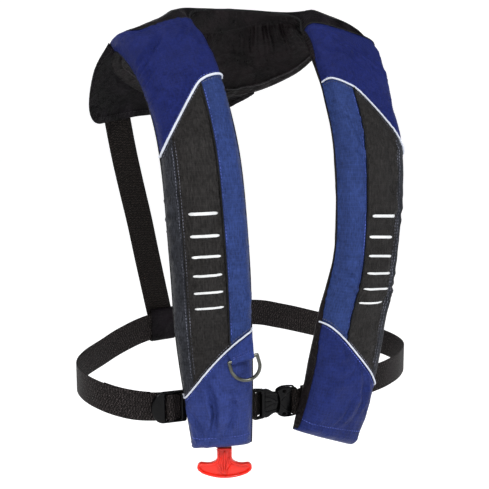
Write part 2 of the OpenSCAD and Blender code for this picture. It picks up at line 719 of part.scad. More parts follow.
// ---------------------------------------------------------------- drawing
right_shoulder_panel();
right_inner_panel();
right_outer_panel();
right_side_panel();
right_lower_panel();
right_lining();
right_upper_piping();
right_lower_piping();
right_seam_piping();
left_shoulder_panel();
left_inner_panel();
left_outer_panel();
left_side_panel();
left_lower_panel();
left_lining();
left_upper_piping();
left_lower_piping();
left_seam_piping();
collar_cover();
collar_lining();
back_yoke();
bladder();
manifold();
manifold_nut();
inflator_body();
bobbin_cap();
bobbin();
drive_spring();
piercing_pin();
inflator_lever();
lever_pin();
status_window();
gas_cylinder();
pull_lanyard();
pull_handle();
oral_tube();
valve_body();
valve_poppet();
valve_spring();
dust_cap();
waist_belt();
belt_front_strap();
belt_left_end();
right_belt_keeper();
left_belt_keeper();
ladder_lock();
buckle_male();
buckle_arms();
buckle_female();
back_strap();
strap_loop();
d_ring();
d_ring_tab();
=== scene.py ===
import math

import bmesh
import bpy
import numpy as np
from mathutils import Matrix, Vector


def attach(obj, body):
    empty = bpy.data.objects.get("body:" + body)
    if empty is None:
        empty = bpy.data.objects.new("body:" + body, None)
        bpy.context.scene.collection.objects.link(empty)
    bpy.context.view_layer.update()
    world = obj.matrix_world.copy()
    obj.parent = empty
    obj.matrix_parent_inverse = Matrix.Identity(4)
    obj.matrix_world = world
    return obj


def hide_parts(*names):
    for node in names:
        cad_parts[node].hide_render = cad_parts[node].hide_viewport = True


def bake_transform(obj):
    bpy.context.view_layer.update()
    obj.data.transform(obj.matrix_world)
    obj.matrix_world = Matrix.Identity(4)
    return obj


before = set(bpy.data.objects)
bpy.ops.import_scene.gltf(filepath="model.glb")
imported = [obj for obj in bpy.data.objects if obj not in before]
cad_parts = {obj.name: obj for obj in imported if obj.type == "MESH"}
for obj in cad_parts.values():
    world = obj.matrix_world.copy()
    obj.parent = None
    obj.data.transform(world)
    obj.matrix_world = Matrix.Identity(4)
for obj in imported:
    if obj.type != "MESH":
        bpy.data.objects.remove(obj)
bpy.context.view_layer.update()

MM = 0.001
JACKET = "jacket"
RIGHT, LEFT = -1, 1
SIDES = ((RIGHT, "right"), (LEFT, "left"))

# ------------------------------------------------------------------ horseshoe, as in the CAD
WAIST_T, CHEST_T, COLLAR_T = 42, 36, 28
# From the foot of the right lobe over the collar to the foot of the left lobe: a point of the
# neck edge, a point of the outer edge, and the thickness
STATIONS = [
    ((-46, -130, -516), (-116, -104, -522), 34),
    ((-46, -134, -440), (-128, -106, -448), WAIST_T),
    ((-47, -134, -360), (-138, -106, -368), WAIST_T - 2),
    ((-49, -130, -270), (-143, -102, -275), CHEST_T),
    ((-54, -112, -150), (-148, -86, -155), CHEST_T - 2),
    ((-62, -78, -66), (-154, -60, -88), COLLAR_T + 4),
    ((-69, -40, -14), (-166, -32, -42), COLLAR_T + 2),
    ((-80, -2, 16), (-182, 0, -14), COLLAR_T),
    ((-74, 38, 32), (-174, 60, -42), COLLAR_T),
    ((-42, 66, 35), (-104, 112, -80), COLLAR_T),
    ((12, 76, 34), (20, 124, -85), COLLAR_T),
    ((66, 66, 30), (102, 101, -55), COLLAR_T),
    ((86, 34, 24), (148, 58, -6), COLLAR_T),
    ((76, -2, 10), (178, 0, -20), COLLAR_T),
    ((76, -40, -24), (180, -32, -56), COLLAR_T + 2),
    ((78, -78, -72), (178, -62, -100), COLLAR_T + 4),
    ((80, -112, -152), (180, -90, -160), CHEST_T - 2),
    ((74, -130, -270), (164, -110, -280), CHEST_T),
    ((50, -134, -360), (146, -114, -368), WAIST_T - 2),
    ((34, -134, -440), (131, -114, -452), WAIST_T),
    ((18, -128, -507), (108, -110, -545), 34),
]
INNER = np.array([s[0] for s in STATIONS], float)
OUTER = np.array([s[1] for s in STATIONS], float)
THICK = np.array([[s[2]] for s in STATIONS], float)
LAST = len(STATIONS) - 1
LOBE_SPAN = 7            # stations from the shoulder to the foot of a lobe
SHOULDER_U = {RIGHT: LOBE_SPAN, LEFT: LAST - LOBE_SPAN}
BACK_SHARE, SEAM_SHARE = 0.45, 0.22          # of the thickness: behind the middle, below the seam
SQUARENESS = 0.5                             # 1 is an ellipse, less is squarer
ROUND_S, SLIT_SHARE = 0.2, 0.1               # stations over which the foot rounds off, and to what
SEAM_P, GUSSET_P = 0.45, 0.64                # shares round the front of the piped and gusset seams
JOINT = 0.003                                # stations that collar and lobe each stop short of their joint
STATION_MM = 80          # length of one station down a lobe


def smooth(points, t):
    """Catmull-Rom curve through the points at parameters t."""
    points = np.asarray(points, float)
    t = np.asarray(t, float)
    n = len(points) - 1
    i = np.clip(np.floor(t).astype(int), 0, n - 1)
    f = (t - i)[..., None]
    b, c = points[i], points[i + 1]
    a = np.where((i > 0)[..., None], points[np.maximum(i - 1, 0)], 2 * b - c)
    d = np.where((i + 2 <= n)[..., None], points[np.minimum(i + 2, n)], 2 * c - b)
    return 0.5 * (2 * b + (c - a) * f + (2 * a - 5 * b + 4 * c - d) * f**2
                  + (3 * b - a - 3 * c + d) * f**3)


def unit(v):
    return v / np.maximum(np.linalg.norm(v, axis=-1, keepdims=True), 1e-9)


def run_of(path):
    """Distance along a path at each of its points."""
    return np.concatenate([[0], np.cumsum(np.linalg.norm(np.diff(path, axis=0), axis=1))])


def point_at(path, run, at):
    """Points of a path at the distances at along it."""
    return np.stack([np.interp(at, run, v) for v in path.T], 1)


def spaced(path, step):
    """Points every step mm along a path."""
    path = np.asarray(path, float)
    run = run_of(path)
    count = max(2, int(round(run[-1] / step)) + 1)
    return point_at(path, run, np.linspace(0, run[-1], count))


def curve(points, count, step):
    """Smooth curve through all the points, resampled every step mm."""
    return spaced(smooth(points, np.linspace(0, len(points) - 1, count)), step)


def power(x, e):
    return np.sign(x) * np.abs(x) ** e


def middle(u):
    return (smooth(INNER, u) + smooth(OUTER, u)) / 2


def section(u):
    """Middle, direction across, direction out, half width and thickness at station u."""
    u = np.asarray(u, float)
    w = smooth(OUTER, u) - smooth(INNER, u)
    ahead = middle(np.minimum(u + 0.02, LAST)) - middle(np.maximum(u - 0.02, 0))
    half = np.linalg.norm(w, axis=-1, keepdims=True) / 2
    return middle(u), w / (2 * half), unit(np.cross(ahead, w)), half, smooth(THICK, u)


def end_round(u):
    s = np.maximum(0, np.maximum(ROUND_S - u, u - (LAST - ROUND_S))) / ROUND_S
    return np.maximum(SLIT_SHARE, np.sqrt(np.maximum(0, 1 - s * s)))[..., None]


def half_section(u, share, lift, way, high_share):
    """Point at a share of the way round one side of the section, lifted along its normal."""
    u, share = np.broadcast_arrays(np.asarray(u, float), np.asarray(share, float))
    mid, w, out, half, t = section(u)
    c, s = np.cos(np.pi * share)[..., None], np.clip(np.sin(np.pi * share), 0, 1)[..., None]
    high = high_share * t * end_round(u)
    at = mid - out * (BACK_SHARE - SEAM_SHARE) * t
    at = at + way * (out * high * power(s, SQUARENESS) - w * half * power(c, SQUARENESS))
    k = 2 - SQUARENESS
    normal = way * unit(out * power(s, k) / high - w * power(c, k) / half)
    return at + normal * np.asarray(lift)[..., None]


def front(u, p, lift=0.0):
    """Point of the cover's front at share p from the neck edge to the outer edge."""
    return half_section(u, p, lift, 1, 1 - SEAM_SHARE)


def rear(u, q, lift=0.0):
    """Point of the wearer's side at share q from the outer edge back to the neck edge."""
    return half_section(u, q, lift, -1, SEAM_SHARE)


def lobe_u(side, s):
    return SHOULDER_U[side] + side * np.asarray(s, float)


def share_a(p):
    return -power(np.cos(np.pi * np.asarray(p, float)), SQUARENESS)


def ease(x):
    t = np.clip(x, 0, 1)
    return t * t * (3 - 2 * t)


def collar_seam(side, p):
    a = share_a(p)
    return 0.07 - 0.37 * ease((a - 0.35) / 0.35) if side == RIGHT else 0.05 + 0 * a


def upper_seam(side, p):
    a = share_a(p)
    bend = a + 0.4 + np.sqrt((a + 0.4) ** 2 + 0.04)
    if side == RIGHT:
        return 1.73 + 0.41 * bend
    return 1.7 + 0.45 * bend + 0.1 * np.exp(-((a + 0.55) / 0.45) ** 2)


def lower_seam(side, p):
    a = share_a(p) + 1
    return 5.02 + (0.38 * a**1.4 if side == RIGHT else 0.47 * a**1.15)


def seam_line(side, k, p):
    if k == 3:
        return LOBE_SPAN + 0 * share_a(p)
    return (collar_seam, upper_seam, lower_seam)[k](side, p)


# Even steps round the section: share p against the arc length a, from a usual section
_p = np.linspace(0, 1, 4001)
_x = -48 * power(np.cos(np.pi * _p), SQUARENESS)
_y = 29 * np.sin(np.pi * _p).clip(0, 1) ** SQUARENESS
_arc = run_of(np.stack([_x, _y], 1))
GIRTH = _arc[-1]


def p_at(a):
    return np.interp(np.asarray(a, float) * GIRTH, _arc, _p)


def a_of(p):
    return np.interp(np.asarray(p, float), _p, _arc / GIRTH)


# ------------------------------------------------------------------ noise
def lattice(i, seed):
    n = (i[..., 0] * 374761393 + i[..., 1] * 668265263 + i[..., 2] * 362437 + seed * 974634777)
    n = n & 0xFFFFFFFF
    n = ((n ^ (n >> 13)) * 1274126177) & 0xFFFFFFFF
    return ((n ^ (n >> 16)) & 0xFFFF) / 32767.5 - 1


def noise(at, size, seed=0):
    """Smooth noise from -1 to 1 with features of the given size, in mm."""
    x = np.asarray(at, float) / np.asarray(size, float)
    i = np.floor(x).astype(np.int64)
    f = x - i
    f = f * f * (3 - 2 * f)
    total = 0
    for dx in (0, 1):
        for dy in (0, 1):
            for dz in (0, 1):
                w = (np.abs(1 - dx - f[..., 0]) * np.abs(1 - dy - f[..., 1])
                     * np.abs(1 - dz - f[..., 2]))
                total = total + w * lattice(i + np.array([dx, dy, dz]), seed)
    return total


def bell(d, width):
    return np.exp(-(np.asarray(d) / width) ** 2)


# ------------------------------------------------------------------ relief of the sewn cover
def seam_gaps(side, s, p):
    """Distances in mm to the seams: upper, lower, piped, gusset, and the two closures."""
    a, e = a_of(p), 0.01
    ahead, behind = p_at((a + e).clip(0, 1)), p_at((a - e).clip(0, 1))

    def across_to(seam):
        """Distance down to a slanting seam, made shorter by its slope."""
        tilt = (seam(side, ahead) - seam(side, behind)) * STATION_MM / (2 * e * GIRTH)
        return (s - seam(side, p)) * STATION_MM / np.sqrt(1 + tilt**2)

    beyond = np.maximum(upper_seam(side, p) - s, s - lower_seam(side, p))
    outside = np.maximum(0, beyond) * STATION_MM
    return [
        across_to(upper_seam),
        across_to(lower_seam),
        np.hypot((a - a_of(SEAM_P)) * GIRTH, outside),
        np.hypot((a - a_of(GUSSET_P)) * GIRTH, outside),
        a * GIRTH,
        (1 - a) * GIRTH,
    ]


# Creases pressed into each lobe: stations down, share across, direction in degrees from
# straight across, length, width and depth in mm
CREASES = {
    RIGHT: [
        (0.55, 0.30, 62, 60, 7, 1.6), (0.75, 0.62, 50, 70, 8, 1.8), (1.15, 0.80, 38, 55, 6, 1.7),
        (1.55, 0.88, 25, 46, 5, 1.6), (1.95, 0.93, 15, 34, 4, 1.3), (3.3, 0.80, 35, 46, 5, 1.5),
        (3.55, 0.84, 28, 48, 5, 1.7), (3.8, 0.74, 52, 52, 6, 1.5), (4.05, 0.60, 70, 60, 6, 1.1),
        (4.4, 0.86, 20, 42, 5, 1.4), (2.4, 0.22, -14, 34, 7, 0.9), (3.6, 0.18, 12, 40, 8, 1.0),
        (4.7, 0.22, -16, 40, 6, 1.3), (6.25, 0.54, 86, 90, 9, 4.2), (6.35, 0.36, 78, 60, 8, 2.6),
        (6.5, 0.72, -76, 50, 7, 2.2), (5.6, 0.72, 40, 40, 6, 1.0), (5.9, 0.30, 8, 44, 8, 1.0),
    ],
    LEFT: [
        (0.5, 0.30, -58, 60, 8, 1.5), (0.9, 0.66, -40, 70, 8, 1.9), (1.3, 0.86, -30, 44, 5, 1.6),
        (1.05, 0.40, -25, 50, 9, 1.2), (2.6, 0.24, -50, 60, 7, 1.3), (3.05, 0.30, -62, 64, 6, 1.4),
        (3.5, 0.20, 28, 44, 6, 1.3), (3.75, 0.26, 36, 50, 6, 1.5), (4.3, 0.22, -22, 46, 6, 1.3),
        (3.1, 0.60, -82, 90, 9, 1.2), (3.6, 0.86, 20, 36, 5, 1.3), (4.5, 0.84, -24, 40, 5, 1.3),
        (5.25, 0.22, 18, 46, 6, 1.5), (5.5, 0.3, 30, 50, 6, 1.4), (6.0, 0.66, -78, 84, 9, 2.0),
        (5.9, 0.34, 10, 54, 8, 1.2), (6.5, 0.5, 70, 48, 7, 1.2),
    ],
}
# Puckers: 7.3 mm long, and their depths in mm at the gaps that seam_gaps gives
PUCKER, PUCKER_DEPTHS = 7.3, (0.6, 0.6, 0.4, 1.0, 0.8, 0.9)
HEM_ROW = 22             # stitch row above the hem, mm
COVER_STANDS = 0.4       # the cover's height over the CAD surface, mm


def shallow(high, most=2.6):
    """Rounds off the dips, so that the cover stays clear of what is folded inside it."""
    return np.where(high < 0, -most * np.tanh(-np.minimum(high, 0) / most), high)


def lobe_relief(side, s, p):
    """Height in mm of the cover over the plain CAD surface."""
    s, p = np.broadcast_arrays(np.asarray(s, float), np.asarray(p, float))
    a = a_of(p)
    x, y = a * GIRTH, s * STATION_MM
    here = np.stack([x, y, np.full_like(x, 90.0 * side)], -1)
    gaps = seam_gaps(side, s, p)
    nearest = np.minimum.reduce([np.abs(g) for g in gaps[:4]])
    high = -1.7 * bell(nearest, 8) - 0.7 * bell(nearest, 1.8)
    high += 1.5 * noise(here, (46, 70, 50), 3) + 0.9 * noise(here, (20, 26, 30), 5)
    high += 0.45 * noise(here, (9, 7, 12), 6) * (0.4 + 0.6 * noise(here, (40, 50, 40), 8) ** 2 * 2)
    high += blown(lobe_u(side, s), a)
    for k, (gap, line) in enumerate(zip(gaps, [x, x, y, y, y, y])):
        wave = np.sin(2 * np.pi * line / PUCKER + 2.2 * noise(here, 15, 11 + k))
        far = np.abs(gap)
        high += PUCKER_DEPTHS[k] * wave * bell(far, 9) * np.clip(far / 2.5, 0.15, 1)
    for s0, a0, turn, length, wide, deep in CREASES[side]:
        dx, dy = x - a0 * GIRTH, y - s0 * STATION_MM
        t = -math.radians(turn) * side
        along, off = dx * math.cos(t) + dy * math.sin(t), dy * math.cos(t) - dx * math.sin(t)
        off = off + 0.0072 * math.copysign(1, turn) * along**2 + 1.6 * noise(here, 22, 31)
        fold = 0.75 * bell(np.abs(off) - wide * 0.95, wide * 0.55) - bell(off, wide * 0.5)
        high += deep * 1.5 * fold * bell(along, length * 0.5)
    hem = (LOBE_SPAN - s) * STATION_MM - HEM_ROW
    ripple = np.sin(2 * np.pi * x / 9 + 2 * noise(here, 12, 41))
    high += 0.35 * ripple * bell(hem, 8) - 0.8 * bell(hem, 1.6)
    tuck = np.clip(np.minimum(gaps[4], gaps[5]) / 6, 0, 1)
    return shallow(high) * tuck + COVER_STANDS


# ------------------------------------------------------------------ cloth simulation
SIM_ROWS, SIM_FRONT, SIM_REAR = 300, 34, 18  # points along the tube, round its front and its back
SIM_SLACK, SIM_MOST = 2.2, 4.5               # how deep it starts and how high it may end, mm
SIM_FRAMES = 20
SIM_CLOTH = {
    "quality": 5, "mass": 0.2, "tension_stiffness": 12, "compression_stiffness": 12,
    "shear_stiffness": 4, "bending_stiffness": 0.15, "pin_stiffness": 3,
    "use_pressure": True, "uniform_pressure_force": 4, "shrink_min": -0.06, "shrink_max": -0.06,
}
SIM_U = np.linspace(0.06, LAST - 0.06, SIM_ROWS)
SIM_A = np.linspace(0, 1, SIM_FRONT)


def held(u, a):
    """How firmly seams, closures and hems hold the cover: 0 free to 1 fixed."""
    u, a = np.broadcast_arrays(u, a)
    hold = np.maximum(bell(a * GIRTH, 5), bell((1 - a) * GIRTH, 5))
    for side, s in ((RIGHT, LOBE_SPAN - u), (LEFT, u - LAST + LOBE_SPAN)):
        p = p_at(a)
        on = s > 0
        gaps = [bell(g, 3.2) for g in seam_gaps(side, s, p)[:4]]
        gaps += [bell((s - collar_seam(side, p)) * STATION_MM, 4), np.clip((s - 6.8) * 10, 0, 1)]
        hold = np.maximum(hold, np.where(on, np.maximum.reduce(gaps), 0))
    return hold


def blow_up():
    """Height in mm of the cover over the CAD surface, from a cloth simulation: the cover is a
    closed tube, fixed on the wearer's side and at its seams, and pressed out from inside."""
    hold = held(SIM_U[:, None], SIM_A[None])
    p = p_at(SIM_A)[None]
    q = p_at(np.linspace(0, 1, SIM_REAR + 2)[1:-1])[None]
    outer = front(SIM_U[:, None], p)
    start = front(SIM_U[:, None], p, -SIM_SLACK * (1 - hold))
    rings = np.concatenate([start, rear(SIM_U[:, None], q)], 1)
    ob = loft("cover_sim", rings)
    weight = np.ones((SIM_ROWS, SIM_FRONT + SIM_REAR))
    weight[1:-1, :SIM_FRONT] = hold[1:-1]
    group = ob.vertex_groups.new(name="hold")
    for i, w in enumerate(weight.ravel()):
        group.add([i], float(w), "REPLACE")
    mod = ob.modifiers.new("cover", "CLOTH")
    for key, value in SIM_CLOTH.items():
        setattr(mod.settings, key, value)
    mod.settings.vertex_group_mass = group.name
    mod.settings.effector_weights.gravity = 0
    mod.collision_settings.use_collision = False
    mod.collision_settings.use_self_collision = False
    mod.point_cache.frame_start, mod.point_cache.frame_end = 1, SIM_FRAMES
    scene = bpy.context.scene
    for frame_no in range(1, SIM_FRAMES + 1):
        scene.frame_set(frame_no)
    solved = ob.evaluated_get(bpy.context.evaluated_depsgraph_get()).to_mesh()
    at = np.zeros(len(solved.vertices) * 3)
    solved.vertices.foreach_get("co", at)
    at = at.reshape(SIM_ROWS, -1, 3)[:, :SIM_FRONT] / MM
    scene.frame_set(1)
    bpy.data.objects.remove(ob)
    normal = unit(front(SIM_U[:, None], p, 1.0) - outer)
    high = np.einsum("ijk,ijk->ij", at - outer, normal)
    return np.clip(high, -0.4 * SIM_MOST, SIM_MOST)


_sim = None


def blown(u, a):
    """The simulated height at station u and arc a."""
    if _sim is None:
        return 0.0
    i = np.clip((np.asarray(u) - SIM_U[0]) / (SIM_U[1] - SIM_U[0]), 0, SIM_ROWS - 1.001)
    j = np.clip(np.asarray(a) * (SIM_FRONT - 1), 0, SIM_FRONT - 1.001)
    i0, j0 = i.astype(int), j.astype(int)
    fi, fj = ease(i - i0), ease(j - j0)
    top = _sim[i0, j0] * (1 - fj) + _sim[i0, j0 + 1] * fj
    low = _sim[i0 + 1, j0] * (1 - fj) + _sim[i0 + 1, j0 + 1] * fj
    return top * (1 - fi) + low * fi


def cover(side, s, p, lift=0.0):
    return front(lobe_u(side, s), p, lobe_relief(side, s, p) + lift)


def add(ob, look, *nodes, body=JACKET, slot=None):
    """Gives a new piece its look and body, and hides the CAD nodes that it stands for. Its slot is not
    used.
    """
    ob.data.materials.clear()
    ob.data.materials.append(MAT[look])
    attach(ob, body)
    if nodes:
        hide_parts(*nodes)
    return ob


def link(name, data):
    ob = bpy.data.objects.new(name, data)
    bpy.context.scene.collection.objects.link(ob)
    return ob


def new_mesh(name, points, faces, uv=None):
    """points in mm; faces as lists or an array of corners; uv in mm for each corner point."""
    me = bpy.data.meshes.new(name)
    me.from_pydata((np.asarray(points) * MM).tolist(), [], [list(map(int, f)) for f in faces])
    if uv is not None:
        layer = me.uv_layers.new(name="weave")
        corner = np.zeros(len(me.loops), np.int32)
        me.loops.foreach_get("vertex_index", corner)
        layer.data.foreach_set("uv", (np.asarray(uv)[corner] * MM).astype(np.float32).ravel())
    me.polygons.foreach_set("use_smooth", np.ones(len(me.polygons), bool))
    me.update()
    return link(name, me)


def arc_uv(grid):
    """Arc lengths in mm over a grid: down it from row to row, and across each row from its middle."""
    down, across = (np.cumsum(np.linalg.norm(np.diff(grid, axis=k, prepend=grid.take([0], k)), axis=2), k)
                    for k in (0, 1))
    down = np.repeat(down.mean(1, keepdims=True), grid.shape[1], 1)
    return np.stack([down, across - across[:, [-1]] / 2], -1)


def grid_normals(grid):
    return unit(np.cross(np.gradient(grid, axis=0), np.gradient(grid, axis=1)))


def quads(rows, cols):
    i = (np.arange(rows - 1)[:, None] * cols + np.arange(cols - 1)[None]).ravel()
    return np.stack([i, i + cols, i + cols + 1, i + 1], 1)


def strip_uv(run, across):
    """Coordinates in mm of rings of points: the run at each ring, and across at each point."""
    return np.stack(np.broadcast_arrays(run[:, None], across[None]), -1).reshape(-1, 2)


def inside_out(points, faces):
    a, b, c, d = (points[faces[:, k]] for k in range(4))
    return np.sum(a * np.cross(b, c)) + np.sum(a * np.cross(c, d)) < 0


def cloth(name, grid, thick=1.2, under=None, uv=None):
    """Closed sheet of cloth: the grid, and the same grid set in by its thickness."""
    rows, cols = grid.shape[:2]
    n = rows * cols
    if under is None:
        under = grid - grid_normals(grid) * thick
    pts = np.concatenate([grid.reshape(-1, 3), under.reshape(-1, 3)])
    top = quads(rows, cols)
    idx = np.arange(n).reshape(rows, cols)
    rim = np.concatenate([idx[0], idx[1:, -1], idx[-1, -2::-1], idx[-2:0:-1, 0]])
    nxt = np.roll(rim, -1)
    faces = np.concatenate([top, top[:, ::-1] + n, np.stack([rim, nxt, nxt + n, rim + n], 1)])
    if inside_out(pts, faces):
        faces = faces[:, ::-1]
    if uv is None:
        uv = arc_uv(grid)
    return new_mesh(name, pts, faces, np.concatenate([uv.reshape(-1, 2)] * 2))


def frames(path):
    """Tangents and a pair of turning-free directions along a path."""
    tangent = unit(np.gradient(path, axis=0))
    a = np.zeros_like(path)
    start = np.cross(tangent[0], [0, 0, 1.0] if abs(tangent[0][2]) < 0.8 else [1.0, 0, 0])
    a[0] = start / np.linalg.norm(start)
    for i in range(1, len(path)):
        v = a[i - 1] - tangent[i] * np.dot(a[i - 1], tangent[i])
        a[i] = v / max(np.linalg.norm(v), 1e-9)
    return tangent, a, np.cross(tangent, a)


def loft(name, rings, closed=False, uv=None):
    """Solid through rings of points (n, m, 3)."""
    n, m = rings.shape[:2]
    pts = rings.reshape(-1, 3)
    i, j = np.arange(n if closed else n - 1)[:, None], np.arange(m)[None]
    k, nxt = (i + 1) % n, (j + 1) % m
    faces = np.stack([i * m + j, i * m + nxt, k * m + nxt, k * m + j], -1).reshape(-1, 4)
    flip = inside_out(pts, faces)
    faces = faces.tolist()
    if not closed:
        faces += [list(range(m))[::-1], list(range((n - 1) * m, n * m))]
    if flip:
        faces = [f[::-1] for f in faces]
    return new_mesh(name, pts, faces, uv)


def circle(a, b, sides):
    """Unit circles in the planes of the directions a and b, one for each pair."""
    k = 2 * np.pi * np.arange(sides) / sides
    return a[:, None] * np.cos(k)[None, :, None] + b[:, None] * np.sin(k)[None, :, None]


TIP_ANGLES = np.array([0.6, 1.1, 1.45])      # the rings that round off a cord's end, in radians


def tube(name, path, radius, sides=12):
    """Round cord along a path, with rounded ends."""
    rise, shrink = radius * np.sin(TIP_ANGLES), radius * np.cos(TIP_ANGLES)
    back, on = unit(path[0] - path[1]), unit(path[-1] - path[-2])
    path = np.concatenate([(path[0] + back * rise[:, None])[::-1], path, path[-1] + on * rise[:, None]])
    size = np.concatenate([shrink[::-1], np.full(len(path) - 6, float(radius)), shrink])
    _, a, b = frames(path)
    rings = path[:, None] + size[:, None, None] * circle(a, b, sides)
    k = 2 * np.pi * np.arange(sides) / sides
    return loft(name, rings, uv=strip_uv(run_of(path), radius * k))


def band(name, path, up, width, thick, cols=14, closed=False, wave=0.0):
    """Webbing with rounded selvedges along a path, its width along up."""
    up = np.broadcast_to(np.asarray(up, float), path.shape)
    ahead = unit(np.gradient(path, axis=0))
    if closed:
        ahead = unit(np.roll(path, -1, 0) - np.roll(path, 1, 0))
    face = unit(np.cross(ahead, up))
    wide = unit(np.cross(face, ahead))
    r = thick / 2
    flat = (width - thick) * np.linspace(-0.5, 0.5, cols)
    edge = np.radians([60, 20, -20, -60])
    bulge, rise = (width - thick) / 2 + r * np.cos(edge), r * np.sin(edge)
    x = np.concatenate([flat, bulge, flat[::-1], -bulge])
    y = np.concatenate([np.full(cols, r), rise, np.full(cols, -r), -rise])
    run = run_of(path)
    bow = wave * noise(np.stack([run, run * 0 + 7, run * 0], -1), 42, 71)[:, None, None]
    rings = path[:, None] + wide[:, None] * x[None, :, None] + face[:, None] * (y[None, :, None] + bow)
    return loft(name, rings, closed, strip_uv(run, x))


def turned(pts, turn, at):
    """Points turned about Z by turn degrees and moved to at."""
    t = math.radians(turn)
    r = np.array([[math.cos(t), -math.sin(t), 0], [math.sin(t), math.cos(t), 0], [0, 0, 1]])
    return np.asarray(pts, float) @ r.T + np.asarray(at, float)


def plate(name, outer, thick, bevel, holes=(), at=(0, 0, 0), turn=0, steps=3):
    """Moulded plate in the XZ plane from closed outlines, with rounded edges."""
    cu = bpy.data.curves.new(name, "CURVE")
    cu.dimensions = "2D"
    cu.fill_mode = "BOTH"
    for line in [outer, *holes]:
        sp = cu.splines.new("POLY")
        sp.points.add(len(line) - 1)
        for pt, (x, z) in zip(sp.points, line):
            pt.co = (x * MM, z * MM, 0, 1)
        sp.use_cyclic_u = True
    cu.extrude = (thick / 2 - bevel) * MM
    cu.bevel_depth = bevel * MM
    cu.bevel_resolution = steps
    cu.offset = -bevel * MM
    tmp = link(name + "_tmp", cu)
    me = bpy.data.meshes.new_from_object(tmp.evaluated_get(bpy.context.evaluated_depsgraph_get()))
    bpy.data.objects.remove(tmp)
    bpy.data.curves.remove(cu)
    co = np.zeros(len(me.vertices) * 3)
    me.vertices.foreach_get("co", co)
    co = co.reshape(-1, 3) / MM
    co = turned(np.stack([co[:, 0], -co[:, 2], co[:, 1]], 1), turn, at)
    me.vertices.foreach_set("co", (co * MM).astype(np.float32).ravel())
    ob = link(name, me)
    weld(ob)
    return ob


def smooth_faces(data, sharp):
    """Smooth shading, with the edges sharper than so many degrees kept."""
    data.polygons.foreach_set("use_smooth", np.ones(len(data.polygons), bool))
    data.set_sharp_from_angle(angle=math.radians(sharp))


def weld(ob):
    bm = bmesh.new()
    bm.from_mesh(ob.data)
    bmesh.ops.remove_doubles(bm, verts=bm.verts, dist=0.002 * MM)
    bmesh.ops.recalc_face_normals(bm, faces=bm.faces)
    bm.to_mesh(ob.data)
    bm.free()
    smooth_faces(ob.data, 38)
    ob.data.update()


STITCH_LONG, STITCH_GAP, STITCH_SIDES = 2.9, 1.3, 6


def stitches(name, lines, radius=0.38):
    """Rows of thread stitches as small capsules. Each line is a path of points in mm."""
    along = np.array([0.0, 0.18, 0.82, 1.0]) * STITCH_LONG
    size = np.array([0.35, 1, 1, 0.35])[:, None, None] * radius
    sides = STITCH_SIDES
    pts, faces = [], []
    for line in lines:
        line = spaced(line, 0.5)
        run = np.arange(len(line)) * 0.5
        for start in np.arange(0.5, run[-1] - STITCH_LONG, STITCH_LONG + STITCH_GAP):
            centre = point_at(line, run, along + start)
            _, a, b = frames(centre)
            base = len(pts)
            pts.extend((centre[:, None] + size * circle(a, b, sides)).reshape(-1, 3).tolist())
            for j in range(base, base + 3 * sides, sides):
                for m in range(sides):
                    q = (m + 1) % sides
                    faces.append([j + m, j + q, j + sides + q, j + sides + m])
            faces.append(list(range(base, base + sides))[::-1])
            faces.append(list(range(base + 3 * sides, base + 4 * sides)))
    return new_mesh(name, pts, faces, np.zeros((len(pts), 2)))


_sim = blow_up()


# ------------------------------------------------------------------ materials
def scaled(color, k):
    return tuple(min(1, v * k) for v in color)


